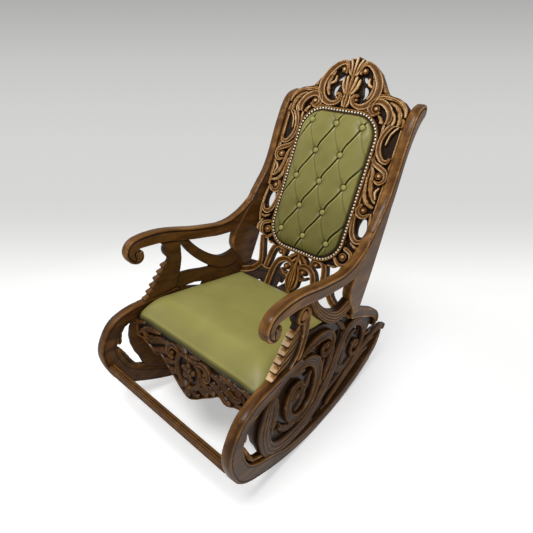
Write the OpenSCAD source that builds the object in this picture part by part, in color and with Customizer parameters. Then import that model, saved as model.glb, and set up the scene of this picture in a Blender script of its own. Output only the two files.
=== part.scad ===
// Carved rocking chair: two pierced side frames on curved runners, a boxed leather seat and a
// tufted leather back. +Z is up and the front faces -Y. The origin is on the floor, under the
// middle of the chair. A side is drawn flat as [front to back, height] and then stood on edge.

/* [Side frames] */
// Reference length that the outlines of a side are shares of
side_length = 1000; // [850:10:1150]
// Thickness of the boards that a side is made of
side_thickness = 30; // [24:1:36]
// Clear width between the two sides at the middle of the chair
inner_width = 468; // [440:1:520]
// Angle by which each side turns in towards the back
splay_angle = 3.05; // [1:0.05:4]
// Radius of the curve that the chair rocks on
runner_radius = 940; // [900:5:1100]
// Height of a runner from its underside to its top
runner_height = 40; // [34:1:46]
// Thickness of the pierced panel inside a side
panel_thickness = 12; // [9:1:15]

/* [Seat] */
// Depth of the seat board and its rails from front to back
seat_depth = 512; // [500:1:530]
// Height of the top of the seat board at its front edge
seat_height = 359; // [350:1:366]
// Slope of the seat down towards the back
seat_slope = 2.5; // [1:0.1:5]
// Height of the cushion's side, from the seat board to the edge of its top
cushion_side = 27; // [22:1:34]
// Rise of the cushion's middle above its edges
cushion_crown = 34; // [26:1:42]
// Gap between the cushion and each side
cushion_gap = 0.5; // [0.3:0.1:2]
// Radius of the cushion's corners, seen from above
cushion_corner = 26; // [16:1:40]
// Thickness of the seat board
seat_board_thickness = 12; // [9:1:18]
// Height of the seat rails
seat_rail_height = 52; // [40:1:60]
// Thickness of the seat rails
seat_rail_thickness = 24; // [18:1:30]
// Thickness of the carved front rail
apron_thickness = 24; // [18:1:30]
// Leg of the corner blocks inside the seat rails
corner_block_leg = 44; // [30:1:60]

/* [Back] */
// Lean of the back from upright
back_recline = 16.65; // [12:0.05:20]
// Height of the middle of the back above the floor
back_height = 763; // [755:1:780]
// Place of the middle of the back behind the middle of the chair
back_setback = 197; // [192:1:204]
// Width of the padded panel across its row of nails
pad_width = 286; // [270:1:300]
// Height of the padded panel across its row of nails
pad_height = 485; // [450:1:500]
// Radius of the padded panel's corners at its row of nails
pad_corner = 80; // [60:1:100]
// Rise of the back pad in front of the frame
pad_crown = 20; // [12:1:26]
// Thickness of the wooden back frame
back_frame_thickness = 28; // [22:1:34]
// Width of the wooden moulding outside the nails
back_moulding = 10; // [8:1:16]
// Thickness of the board that closes the back
back_board_thickness = 5; // [3:1:8]

/* [Trim] */
// Radius of a covered button
button_radius = 10; // [8:0.5:12]
// Height of a covered button
button_height = 7; // [5:0.5:9]
// Distance between two buttons in a row
button_pitch = 95; // [88:1:100]
// Distance between two rows of buttons
button_row_pitch = 96; // [88:1:100]
// Height of the middle row of buttons above the middle of the back
button_lift = 7; // [0:1:10]
// Radius of a nail head
nail_radius = 3.6; // [3:0.1:3.9]
// Distance between two nails
nail_pitch = 8.3; // [8:0.1:10]

/* [Rails] */
// Height of the front stretcher
stretcher_height = 34; // [26:1:40]
// Depth of the front stretcher from front to back
stretcher_depth = 24; // [18:1:30]

/* [Hidden] */

// Colours of the two finishes and of the nails
walnut = "saddlebrown";
dark_walnut = "sienna";
olive = "darkkhaki";
pearl = "silver";

// Number of steps in each stretch of a curve
curve_steps = 5;
// Facets of the round parts
round_facets = 48;

// Half of the outside width at the middle of the chair
outer_half = inner_width / 2 + side_thickness / cos(splay_angle);

// Centre line of the arm and back post, with half its depth: shares of side_length
arm_path_shares = [
  [-0.330, 0.563, 0.008], [-0.330, 0.547, 0.008], [-0.343, 0.539, 0.009], [-0.360, 0.549, 0.012],
  [-0.367, 0.571, 0.016], [-0.354, 0.591, 0.018], [-0.325, 0.599, 0.020], [-0.285, 0.602, 0.021],
  [-0.245, 0.601, 0.021], [-0.200, 0.595, 0.021], [-0.138, 0.585, 0.021], [-0.077, 0.579, 0.021],
  [-0.026, 0.575, 0.022], [0.020, 0.578, 0.024], [0.058, 0.585, 0.029], [0.105, 0.607, 0.031],
  [0.143, 0.640, 0.029], [0.166, 0.674, 0.027], [0.190, 0.709, 0.027], [0.214, 0.744, 0.027],
  [0.230, 0.784, 0.024], [0.242, 0.825, 0.022], [0.250, 0.858, 0.021], [0.259, 0.893, 0.021],
  [0.272, 0.932, 0.022], [0.291, 0.975, 0.025], [0.312, 1.004, 0.027], [0.338, 1.020, 0.022]
];
// Eye of the arm's scroll and the rolled top of the back post: [front to back, height, radius]
arm_eye_share = [-0.343, 0.557, 0.012];
post_roll_share = [0.341, 1.021, 0.022];
// Line of the joint between the arm and the back post, from its underside to its top
arm_joint_shares = [[0.030, 0.520], [0.140, 0.680]];
// Leg of the back post, below the arm
post_leg_shares = [
  [0.148, 0.404], [0.187, 0.522], [0.212, 0.615], [0.233, 0.697], [0.243, 0.744], [0.190, 0.724],
  [0.143, 0.640], [0.105, 0.607], [0.056, 0.560], [0.047, 0.525], [0.046, 0.500], [0.062, 0.462],
  [0.092, 0.430], [0.104, 0.404]
];

// Front post: its body, from the arm down to the top of the loop
front_post_shares = [
  [-0.268, 0.585], [-0.250, 0.568], [-0.245, 0.552], [-0.240, 0.535], [-0.238, 0.520],
  [-0.330, 0.388], [-0.300, 0.395], [-0.250, 0.400], [-0.205, 0.410], [-0.195, 0.450],
  [-0.189, 0.475], [-0.185, 0.510], [-0.188, 0.545], [-0.192, 0.585]
];
// Rounded leaf teeth on the front post: the ends of their row, and one tooth's radius
tooth_row_shares = [[-0.242, 0.510], [-0.318, 0.402]];
tooth_radius_share = 0.012;
tooth_count = 6;

// Front loop: centre line and half depth
loop_path_shares = [
  [-0.205, 0.392, 0.013], [-0.250, 0.386, 0.015], [-0.300, 0.378, 0.018], [-0.335, 0.370, 0.021],
  [-0.365, 0.364, 0.023], [-0.396, 0.355, 0.023], [-0.426, 0.337, 0.024], [-0.447, 0.303, 0.025],
  [-0.457, 0.260, 0.027], [-0.445, 0.212, 0.028], [-0.415, 0.160, 0.028], [-0.372, 0.127, 0.027],
  [-0.322, 0.102, 0.026], [-0.280, 0.088, 0.025]
];
// Rear end of the runner, after its arc: centre line and half depth
runner_end_shares = [[0.424, 0.118, 0.017], [0.441, 0.148, 0.013], [0.447, 0.172, 0.010]];
// Shift of a side's outline that brings the middle of the chair over the origin
side_shift_share = -0.009;
// Place of the point that the chair stands on, and of the two ends of the runner's arc
contact_share = 0.038;
runner_front_share = -0.360;
runner_rear_share = 0.385;
// Place of the joint between the front loop and the runner
runner_joint_share = -0.330;
// Number of flats along the runner's underside, and half the length of the worn one that the chair rests on
runner_flats = 24;
rest_share = 0.055;

// Rear rail from the post to its curl: centre line and half depth
rear_rail_shares = [
  [0.118, 0.402, 0.019], [0.160, 0.388, 0.019], [0.205, 0.368, 0.018], [0.262, 0.343, 0.017],
  [0.315, 0.318, 0.017], [0.350, 0.293, 0.016], [0.371, 0.266, 0.014], [0.366, 0.246, 0.010]
];
// Brace under the arm: centre line and half depth
brace_shares = [
  [-0.178, 0.575, 0.014], [-0.150, 0.539, 0.016], [-0.110, 0.503, 0.018], [-0.062, 0.470, 0.020],
  [-0.015, 0.449, 0.023], [0.030, 0.447, 0.027], [0.070, 0.462, 0.026], [0.110, 0.490, 0.024]
];

// Outline of the pierced panel before the members around it are cut away
panel_shares = [
  [-0.210, 0.458], [-0.150, 0.455], [-0.100, 0.447], [-0.060, 0.443], [0.000, 0.452], [0.060, 0.466],
  [0.115, 0.430], [0.160, 0.392], [0.262, 0.343], [0.330, 0.308], [0.352, 0.262], [0.330, 0.232],
  [0.360, 0.214], [0.420, 0.205], [0.462, 0.186], [0.446, 0.150], [0.424, 0.118], [0.385, 0.085],
  [0.230, 0.035], [0.038, 0.012], [-0.160, 0.040], [-0.320, 0.095], [-0.334, 0.148],
  [-0.350, 0.180], [-0.370, 0.215], [-0.384, 0.255], [-0.388, 0.288], [-0.384, 0.318], [-0.372, 0.346],
  [-0.300, 0.372], [-0.240, 0.392], [-0.205, 0.405]
];
// Openings cut through the panel: [front to back, height, radius]
panel_hole_shares = [
  [-0.130, 0.318, 0.024], [-0.268, 0.196, 0.016], [0.212, 0.288, 0.020], [0.037, 0.354, 0.017],
  [-0.112, 0.228, 0.018]
];
// Two larger openings: between the scrolls at the top, and under the rear rail
upper_gap_shares = [
  [-0.178, 0.401], [-0.130, 0.402], [-0.090, 0.394], [-0.098, 0.378], [-0.140, 0.390]
];
rear_gap_shares = [
  [0.272, 0.303], [0.315, 0.285], [0.345, 0.262], [0.325, 0.236], [0.296, 0.236], [0.288, 0.268]
];

// Large ring that runs on into the rear scroll: centre line and half width
ring_shares = [
  [-0.300, 0.352, 0.010], [-0.322, 0.322, 0.018], [-0.329, 0.280, 0.026], [-0.334, 0.235, 0.027],
  [-0.327, 0.190, 0.026], [-0.305, 0.145, 0.026], [-0.262, 0.110, 0.026], [-0.200, 0.095, 0.028],
  [-0.120, 0.097, 0.031], [-0.055, 0.123, 0.032], [0.000, 0.170, 0.031], [0.036, 0.228, 0.028],
  [0.060, 0.286, 0.025], [0.086, 0.332, 0.022], [0.125, 0.354, 0.019], [0.172, 0.346, 0.017],
  [0.218, 0.322, 0.015], [0.251, 0.286, 0.014], [0.264, 0.246, 0.013], [0.252, 0.209, 0.012],
  [0.222, 0.192, 0.011], [0.188, 0.198, 0.010], [0.167, 0.222, 0.009], [0.170, 0.246, 0.008],
  [0.186, 0.260, 0.007]
];
rear_eye_share = [0.202, 0.239, 0.019];
// Inner scroll: centre line and half width
inner_scroll_shares = [
  [-0.232, 0.384, 0.008], [-0.188, 0.374, 0.013], [-0.142, 0.362, 0.017], [-0.102, 0.334, 0.020],
  [-0.077, 0.290, 0.021], [-0.073, 0.240, 0.021], [-0.087, 0.192, 0.020], [-0.120, 0.163, 0.018],
  [-0.165, 0.163, 0.017], [-0.206, 0.188, 0.016], [-0.230, 0.230, 0.015], [-0.234, 0.273, 0.014],
  [-0.214, 0.303, 0.012], [-0.183, 0.304, 0.010], [-0.165, 0.285, 0.008], [-0.172, 0.266, 0.008]
];
inner_eye_share = [-0.193, 0.265, 0.020];
// Middle scroll: centre line and half width, its eye and the leaf below it
middle_scroll_shares = [
  [-0.205, 0.404, 0.006], [-0.170, 0.411, 0.011], [-0.125, 0.418, 0.015], [-0.075, 0.414, 0.016],
  [-0.035, 0.398, 0.015], [-0.010, 0.370, 0.013], [-0.012, 0.343, 0.011], [-0.036, 0.328, 0.010],
  [-0.062, 0.338, 0.009], [-0.070, 0.358, 0.007], [-0.056, 0.370, 0.007]
];
middle_eye_share = [-0.043, 0.362, 0.013];
middle_leaf_shares = [[0.004, 0.348], [0.024, 0.312], [0.012, 0.262], [-0.014, 0.214], [-0.032, 0.250],
  [-0.032, 0.292], [-0.020, 0.322]];
// Long rib from the runner up to the rear curl: centre line and half width
lower_rib_shares = [
  [0.055, 0.082, 0.010], [0.130, 0.118, 0.013], [0.215, 0.158, 0.014], [0.300, 0.186, 0.014],
  [0.380, 0.197, 0.014], [0.445, 0.195, 0.014], [0.482, 0.179, 0.013]
];
rear_curl_share = [0.487, 0.175, 0.015];

// Place of the front stretcher, as shares of side_length: [front to back, height]
stretcher_share = [-0.455, 0.190];
// Front edge of the seat
seat_front_share = -0.371;

// Seat rail's own places
seat_front = side_length * seat_front_share;
rail_drop = seat_board_thickness;
// Drop of the apron's carved middle below its top
apron_drop = seat_height * 0.49;
// Lower edge of the apron, half of it: shares of the inner width and of its drop
apron_edge_shares = [
  [0.560, 0.42], [0.470, 0.42], [0.405, 0.46], [0.350, 0.54], [0.310, 0.55], [0.277, 0.48], [0.250, 0.53],
  [0.213, 0.62], [0.170, 0.70], [0.128, 0.78], [0.085, 0.86], [0.040, 0.96], [0.000, 1.00]
];
// Scrolls on the apron, half of them: centre lines and half widths, as shares of the inner width
apron_scroll_shares = [
  [0.110, -0.245, 0.008], [0.128, -0.225, 0.009], [0.115, -0.200, 0.010], [0.085, -0.205, 0.011],
  [0.075, -0.250, 0.012], [0.100, -0.285, 0.012], [0.150, -0.265, 0.013], [0.200, -0.220, 0.013],
  [0.240, -0.165, 0.013], [0.290, -0.145, 0.012], [0.345, -0.165, 0.012], [0.400, -0.140, 0.011],
  [0.440, -0.105, 0.011], [0.480, -0.100, 0.012], [0.540, -0.100, 0.012]
];
apron_leaf_shares = [
  [0.105, -0.120, 0.018], [0.160, -0.090, 0.026], [0.230, -0.075, 0.028], [0.310, -0.080, 0.024],
  [0.370, -0.090, 0.016]
];
// Rose in the middle and the shell below it: [across, up, radius]
apron_rose_share = [0.000, -0.175, 0.080];
apron_shell_share = [0.000, -0.300, 0.050];
apron_relief = apron_thickness / 4;

// Back frame: half sizes of the nail row and of the moulding
nail_half_w = pad_width / 2;
nail_half_h = pad_height / 2;
frame_half_w = nail_half_w + back_moulding;
frame_half_h = nail_half_h + back_moulding;
// The carvings beside the frame are thinner than it and set back from its face
carving_thickness = back_frame_thickness * 0.75;
carving_front = (carving_thickness - back_frame_thickness) / 2;
carving_relief = back_frame_thickness / 5;
// Width of the strip between the frame and the chair's side
carving_strip = inner_half(back_setback) - frame_half_w;

// Crest outline above the frame, half of it: shares of the frame's half height, [across, up]
crest_shares = [
  [0.903, 0.881], [0.899, 1.000], [0.859, 1.099], [0.784, 1.166], [0.705, 1.198], [0.622, 1.206],
  [0.543, 1.234], [0.483, 1.297], [0.432, 1.372], [0.352, 1.467], [0.261, 1.539], [0.170, 1.586],
  [0.091, 1.594], [0.055, 1.620], [0.000, 1.634]
];
crest_foot_share = 0.881;
// Openings in the crest: [across, up, radius]
crest_hole_shares = [[0.175, 1.375, 0.032], [0.225, 1.250, 0.042], [0.225, 1.190, 0.030]];
// Opening in a carved side of the back: across and half width are shares of the strip between the frame
// and the chair's side, up is a share of the frame's half height
carving_gap_shares = [[0.51, -0.31, 0.14], [0.53, -0.39, 0.21], [0.53, -0.46, 0.17]];
// Raised scrolls on them, in the same shares, and their eyes
side_scroll_shares = [
  [[0.84, 0.90, 0.10], [0.50, 0.90, 0.13], [0.24, 0.80, 0.12], [0.11, 0.68, 0.11], [0.18, 0.55, 0.12],
    [0.41, 0.47, 0.11], [0.67, 0.45, 0.09], [0.78, 0.49, 0.06]],
  [[0.04, 0.46, 0.06], [0.21, 0.41, 0.11], [0.52, 0.37, 0.12], [0.81, 0.32, 0.11], [0.86, 0.24, 0.10],
    [0.67, 0.18, 0.08], [0.44, 0.20, 0.05]],
  [[0.06, 0.34, 0.06], [0.18, 0.26, 0.10], [0.20, 0.17, 0.13], [0.30, 0.09, 0.14], [0.48, 0.01, 0.12],
    [0.75, -0.05, 0.07]],
  [[0.67, -0.21, 0.06], [0.50, -0.26, 0.09], [0.23, -0.25, 0.11], [0.10, -0.18, 0.10], [0.21, -0.12, 0.06]],
  [[0.06, -0.28, 0.06], [0.09, -0.38, 0.10], [0.18, -0.50, 0.12], [0.44, -0.58, 0.12], [0.72, -0.56, 0.10],
    [0.81, -0.50, 0.05]],
  [[0.13, -0.71, 0.08], [0.44, -0.75, 0.10], [0.53, -0.84, 0.10], [0.33, -0.93, 0.10]]
];
side_eye_shares = [[0.55, 0.27, 0.16], [0.37, -0.18, 0.15], [0.14, -0.82, 0.18]];
// Raised scrolls on the crest, half of them, and their eyes
crest_scroll_shares = [
  [[0.10, 1.43, 0.016], [0.10, 1.50, 0.024], [0.14, 1.55, 0.032], [0.23, 1.53, 0.040], [0.32, 1.45, 0.048],
    [0.40, 1.33, 0.052], [0.41, 1.21, 0.052], [0.35, 1.10, 0.048], [0.25, 1.04, 0.040], [0.15, 1.05, 0.032],
    [0.09, 1.10, 0.026], [0.10, 1.16, 0.022]],
  [[0.38, 1.14, 0.024], [0.47, 1.19, 0.036], [0.59, 1.19, 0.036], [0.71, 1.16, 0.032], [0.81, 1.09, 0.028],
    [0.85, 1.00, 0.016]],
  [[0.50, 1.00, 0.016], [0.43, 0.98, 0.026], [0.37, 1.03, 0.034], [0.40, 1.10, 0.036], [0.49, 1.12, 0.038],
    [0.59, 1.09, 0.042], [0.65, 1.01, 0.042], [0.66, 0.93, 0.034], [0.62, 0.89, 0.016]],
  [[0.04, 1.17, 0.020], [0.08, 1.27, 0.034], [0.08, 1.37, 0.024]],
  [[0.00, 1.40, 0.024], [0.00, 1.52, 0.040], [0.00, 1.61, 0.030]]
];
crest_eye_shares = [[0.15, 1.47, 0.040], [0.45, 1.04, 0.046]];
// Lower edge of the carved side of the back, from the frame out to the post
carving_foot_shares = [[0.300, -0.960], [0.420, -1.020], [0.560, -1.010], [0.700, -0.940], [0.950, -0.840]];

// Scrolls of the lower splat: centre lines and half widths, as shares of the frame's half height
splat_outer_shares = [
  [0.317, -1.075, 0.016], [0.269, -1.099, 0.020], [0.238, -1.051, 0.024], [0.269, -1.004, 0.028],
  [0.364, -0.996, 0.036], [0.436, -1.059, 0.040], [0.459, -1.170, 0.044], [0.467, -1.289, 0.048],
  [0.535, -1.368, 0.048], [0.653, -1.416, 0.051], [0.792, -1.479, 0.055], [0.950, -1.535, 0.059]
];
splat_inner_shares = [
  [0.174, -1.257, 0.016], [0.143, -1.305, 0.020], [0.079, -1.289, 0.024], [0.052, -1.218, 0.028],
  [0.095, -1.147, 0.032], [0.182, -1.131, 0.036], [0.277, -1.170, 0.040], [0.343, -1.269, 0.044],
  [0.390, -1.376, 0.052], [0.450, -1.487, 0.052], [0.490, -1.640, 0.050], [0.500, -1.820, 0.048]
];
splat_eye_shares = [[0.301, -1.051, 0.048], [0.143, -1.222, 0.052]];
// Leaf in the middle of the splat, half of it
splat_leaf_shares = [[0.055, -0.960], [0.125, -1.050], [0.135, -1.110], [0.070, -1.180], [0.060, -1.309],
  [0.087, -1.400], [0.075, -1.520], [0.060, -1.720], [0.050, -1.820], [0.000, -1.820]];
// Width of the braces behind the splat's outer ends, from the frame to the posts
brace_leg_shares = [
  [0.640, -0.950, 0.040], [0.640, -1.100, 0.036], [0.600, -1.250, 0.034], [0.590, -1.390, 0.036]
];

// A number between two others
function mix(a, b, t) = a + (b - a) * t;

// One point of a smooth curve through p1 and p2
function curve_point(p0, p1, p2, p3, t) =
  (2 * p1 + (p2 - p0) * t + (2 * p0 - 5 * p1 + 4 * p2 - p3) * t * t
    + (3 * p1 - p0 - 3 * p2 + p3) * t * t * t) / 2;

// A smooth curve through all the points of a list
function smooth(points) = [
  for (i = [0 : len(points) - 2])
    for (j = [0 : curve_steps - 1])
      curve_point(points[max(i - 1, 0)], points[i], points[i + 1], points[min(i + 2, len(points) - 1)],
        j / curve_steps),
  points[len(points) - 1]
];

// Unit vector across the curve at one of its points
function across(points, i) =
  let (
    a = points[max(i - 1, 0)],
    b = points[min(i + 1, len(points) - 1)],
    d = [b.x - a.x, b.y - a.y]
  ) [-d.y, d.x] / norm(d);

// Outline of a band around a curve of [x, y, half width]
function band(points) = concat(
  [for (i = [0 : len(points) - 1]) [points[i].x, points[i].y] + across(points, i) * points[i].z],
  [for (i = [len(points) - 1 : -1 : 0]) [points[i].x, points[i].y] - across(points, i) * points[i].z]
);

// Half of the clear width between the sides at a place along the chair
function inner_half(y) = inner_width / 2 - y * tan(splay_angle);

// A half outline closed by its own mirror image
function mirrored(points) = concat(
  points,
  [for (i = [len(points) - 1 : -1 : 0]) [-points[i].x, points[i].y]]
);

module band_2d(shares, scale_length) {
  polygon(band(smooth(shares * scale_length)));
}

module eye_2d(share, scale_length) {
  translate([share.x, share.y] * scale_length)
    circle(r = share.z * scale_length, $fn = round_facets);
}

module arm_half_plane_2d() {
  low = arm_joint_shares[0] * side_length;
  high = arm_joint_shares[1] * side_length;
  polygon([low, high, [-side_length, high.y], [-side_length, low.y]]);
}

module arm_2d() {
  intersection() {
    union() {
      band_2d(arm_path_shares, side_length);
      eye_2d(arm_eye_share, side_length);
    }
    arm_half_plane_2d();
  }
}

module back_post_2d() {
  difference() {
    union() {
      band_2d(arm_path_shares, side_length);
      eye_2d(post_roll_share, side_length);
      polygon(post_leg_shares * side_length);
    }
    arm_half_plane_2d();
    arm_2d();
  }
}

module teeth_2d() {
  for (i = [0 : tooth_count - 1])
    translate(mix(tooth_row_shares[0], tooth_row_shares[1], i / (tooth_count - 1)) * side_length)
      circle(r = tooth_radius_share * side_length, $fn = round_facets);
}

module front_post_2d() {
  difference() {
    union() {
      polygon(front_post_shares * side_length);
      teeth_2d();
    }
    band_2d(arm_path_shares, side_length);
    eye_2d(arm_eye_share, side_length);
    band_2d(loop_path_shares, side_length);
  }
}

module front_loop_2d() {
  difference() {
    band_2d(loop_path_shares, side_length);
    runner_front_cut_2d();
  }
}

// Everything behind the joint between the loop and the runner, below the seat
module runner_front_cut_2d() {
  joint = side_length * runner_joint_share;
  translate([joint, -side_length])
    square([side_length * 2, side_length + runner_radius / 5]);
}

// The rocking curve is drawn as short flats; its lowest part is worn level with the floor
front_reach = asin((contact_share - runner_front_share) * side_length / runner_radius);
rear_reach = asin((runner_rear_share - contact_share) * side_length / runner_radius);
flat_angle = (front_reach + rear_reach) / runner_flats;
rest_half = rest_share * side_length;
runner_centre = sqrt(runner_radius * runner_radius - rest_half * rest_half);
front_flats = round(front_reach / flat_angle - 0.5);

function runner_angle(i) = (i - front_flats - 0.5) * flat_angle;
function runner_point(i, radius) = [
  contact_share * side_length + radius * sin(runner_angle(i)),
  runner_centre - radius * cos(runner_angle(i))
];

module runner_2d() {
  top_radius = runner_radius - runner_height;
  difference() {
    union() {
      polygon(concat(
        [for (i = [0 : runner_flats]) runner_point(i, runner_radius)],
        [for (i = [runner_flats : -1 : 0]) runner_point(i, top_radius)]
      ));
      band_2d(concat([runner_tail(1), runner_tail(0)], runner_end_shares), side_length);
    }
    front_loop_side_2d();
    below_floor_2d();
  }
}

module below_floor_2d() {
  translate([-side_length, -side_length])
    square([side_length * 2, side_length]);
}

// The last two points of the runner's own centre line, which its end carries on from
function runner_tail(back) =
  let (p = runner_point(runner_flats - back, runner_radius - runner_height / 2))
  [p.x, p.y, runner_height / 2] / side_length;

module front_loop_side_2d() {
  joint = side_length * runner_joint_share;
  translate([joint - side_length, 0])
    square([side_length, side_length]);
}

module rear_rail_2d() {
  difference() {
    band_2d(rear_rail_shares, side_length);
    back_post_2d();
  }
}

module arm_brace_2d() {
  difference() {
    band_2d(brace_shares, side_length);
    band_2d(arm_path_shares, side_length);
    polygon(post_leg_shares * side_length);
    polygon(front_post_shares * side_length);
  }
}

// All the full-thickness members of a side
module members_2d() {
  band_2d(arm_path_shares, side_length);
  back_post_2d();
  polygon(front_post_shares * side_length);
  front_loop_2d();
  runner_2d();
  band_2d(rear_rail_shares, side_length);
  band_2d(brace_shares, side_length);
}

module side_panel_2d() {
  difference() {
    polygon(panel_shares * side_length);
    members_2d();
    for (hole = panel_hole_shares)
      eye_2d(hole, side_length);
    polygon(upper_gap_shares * side_length);
    polygon(rear_gap_shares * side_length);
  }
}

module ring_scroll_2d() {
  difference() {
    union() {
      band_2d(ring_shares, side_length);
      eye_2d(rear_eye_share, side_length);
    }
    members_2d();
  }
}

module inner_scroll_2d() {
  difference() {
    union() {
      band_2d(inner_scroll_shares, side_length);
      eye_2d(inner_eye_share, side_length);
    }
    members_2d();
    band_2d(ring_shares, side_length);
  }
}

module middle_scroll_2d() {
  difference() {
    union() {
      band_2d(middle_scroll_shares, side_length);
      eye_2d(middle_eye_share, side_length);
      polygon(middle_leaf_shares * side_length);
    }
    members_2d();
    band_2d(ring_shares, side_length);
    band_2d(inner_scroll_shares, side_length);
  }
}

module lower_rib_2d() {
  difference() {
    union() {
      band_2d(lower_rib_shares, side_length);
      eye_2d(rear_curl_share, side_length);
    }
    members_2d();
    band_2d(ring_shares, side_length);
  }
}

// Stands a flat outline on edge on the left side of the chair; 0 depth is the outer face
module on_side(inner, outer) {
  translate([outer_half, 0, 0])
    rotate([0, 0, splay_angle])
      translate([-inner, 0, 0])
        rotate([90, 0, 90])
          linear_extrude(height = inner - outer)
            translate([side_shift_share * side_length, 0])
              children();
}

// The same piece on the right side
module other_side() {
  mirror([1, 0, 0])
    children();
}

module full_member() {
  on_side(side_thickness, 0)
    children();
}

module raised_member() {
  on_side(side_thickness - panel_thickness, 0)
    children();
}

module arm() {
  color(walnut) full_member() arm_2d();
}

module back_post() {
  color(walnut) full_member() back_post_2d();
}

module front_post() {
  color(walnut) full_member() front_post_2d();
}

module front_loop() {
  color(walnut) full_member() front_loop_2d();
}

module runner() {
  color(walnut) full_member() runner_2d();
}

module rear_rail() {
  color(walnut) full_member() rear_rail_2d();
}

module arm_brace() {
  color(walnut) full_member() arm_brace_2d();
}

module side_panel() {
  color(dark_walnut)
    on_side(side_thickness, side_thickness - panel_thickness)
      side_panel_2d();
}

module ring_scroll() {
  color(walnut) raised_member() ring_scroll_2d();
}

module inner_scroll() {
  color(walnut) raised_member() inner_scroll_2d();
}

module middle_scroll() {
  color(walnut) raised_member() middle_scroll_2d();
}

module lower_rib() {
  color(walnut) raised_member() lower_rib_2d();
}

// Keeps what lies between the two sides, less a gap at each
module between_sides(gap) {
  reach = side_length;
  intersection() {
    children();
    linear_extrude(height = side_length * 2)
      polygon([
        [inner_half(-reach) - gap, -reach], [inner_half(reach) - gap, reach],
        [gap - inner_half(reach), reach], [gap - inner_half(-reach), -reach]
      ]);
  }
}

// Seat frame of reference: the front edge of the seat board's top, sloping to the back
module on_seat() {
  translate([0, seat_front, seat_height])
    rotate([-seat_slope, 0, 0])
      children();
}

module seat_block(from, size) {
  translate([-side_length / 2, from.x, from.y])
    cube([side_length, size.x, size.y]);
}

// Cuts off what would reach into the upright front rail
module behind_apron() {
  difference() {
    children();
    translate([-side_length, seat_front + apron_thickness - side_length, 0])
      cube([side_length * 2, side_length, side_length]);
  }
}

module seat_rail() {
  width = seat_rail_thickness;
  inside = inner_half(seat_front) - width;
  color(dark_walnut)
    behind_apron()
      between_sides(0)
        on_seat()
          translate([0, 0, -rail_drop - seat_rail_height])
            linear_extrude(height = seat_rail_height)
              polygon([
                [inside, 0], [inner_half(-side_length), 0],
                [inner_half(-side_length), seat_depth - width],
                [inner_half(seat_front + seat_depth) - width, seat_depth - width]
              ]);
}

module rear_seat_rail() {
  color(dark_walnut)
    between_sides(0)
      on_seat()
        seat_block([seat_depth - seat_rail_thickness, -rail_drop - seat_rail_height],
          [seat_rail_thickness, seat_rail_height]);
}

module apron_outline_2d() {
  edge = smooth([for (p = apron_edge_shares) [p.x * inner_width, -p.y * apron_drop]]);
  polygon(concat([[inner_width, 0]], mirrored(edge), [[-inner_width, 0]]));
}

module on_apron(thickness) {
  between_sides(0)
    translate([0, seat_front, seat_height])
      rotate([90, 0, 0])
        linear_extrude(height = thickness)
          children();
}

// The carved front rail stands upright in front of the seat board
module front_apron() {
  color(walnut)
    translate([0, apron_thickness, 0])
      on_apron(apron_thickness)
        apron_outline_2d();
}

module half_apron_carving_2d() {
  band_2d(apron_scroll_shares, inner_width);
  band_2d(apron_leaf_shares, inner_width);
}

module apron_carving() {
  color(walnut)
    on_apron(apron_relief)
      intersection() {
        apron_outline_2d();
        union() {
          half_apron_carving_2d();
          mirror([1, 0]) half_apron_carving_2d();
          eye_2d(apron_rose_share, inner_width);
          eye_2d(apron_shell_share, inner_width);
        }
      }
}

module corner_block_pair(corner, reach) {
  translate([0, 0, -rail_drop - seat_rail_height])
    linear_extrude(height = seat_rail_height)
      for (side = [-1, 1])
        polygon([[side * (corner.x - corner_block_leg), corner.y], [side * corner.x, corner.y],
          [side * corner.x, corner.y + reach]]);
}

module corner_blocks() {
  front = inner_half(seat_front) - seat_rail_thickness - corner_block_leg / 6;
  rear = inner_half(seat_front + seat_depth) - seat_rail_thickness;
  color(dark_walnut)
    behind_apron()
      on_seat() {
        corner_block_pair([front, apron_thickness - rail_drop], corner_block_leg + rail_drop);
        corner_block_pair([rear, seat_depth - seat_rail_thickness], -corner_block_leg);
      }
}

module seat_board() {
  color(dark_walnut)
    behind_apron()
      between_sides(0)
        on_seat()
          seat_block([0, -seat_board_thickness], [seat_depth, seat_board_thickness]);
}

// Points of a soft form are numbered in this order: a grid of tops, rings under its rim, and one point
// in the middle of the underside
function ring_point(rim, total, ring, k) = ring == 0 ? rim[k] : total + (ring - 1) * len(rim) + k;

function grid_faces(nx, ny, rings) = let (
    row = nx + 1,
    total = row * (ny + 1),
    rim = concat(
      [for (i = [0 : nx - 1]) i],
      [for (j = [0 : ny - 1]) j * row + nx],
      [for (i = [nx : -1 : 1]) ny * row + i],
      [for (j = [ny : -1 : 1]) j * row]
    ),
    last = len(rim)
  ) [
    for (j = [0 : ny - 1]) for (i = [0 : nx - 1]) let (p = j * row + i)
      for (face = [[p, p + row, p + row + 1], [p, p + row + 1, p + 1]]) face,
    for (ring = [0 : rings - 1]) for (k = [0 : last - 1]) let (
        n = (k + 1) % last,
        a = ring_point(rim, total, ring, k),
        b = ring_point(rim, total, ring, n),
        c = ring_point(rim, total, ring + 1, n),
        d = ring_point(rim, total, ring + 1, k)
      )
      for (face = [[a, b, c], [a, c, d]]) face,
    for (k = [0 : last - 1])
      [
        ring_point(rim, total, rings, k),
        ring_point(rim, total, rings, (k + 1) % last),
        total + rings * last
      ]
  ];

function grid_rim(grid, nx, ny) = let (row = nx + 1) concat(
  [for (i = [0 : nx - 1]) grid[i]],
  [for (j = [0 : ny - 1]) grid[j * row + nx]],
  [for (i = [nx : -1 : 1]) grid[ny * row + i]],
  [for (j = [ny : -1 : 1]) grid[j * row]]
);

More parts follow.
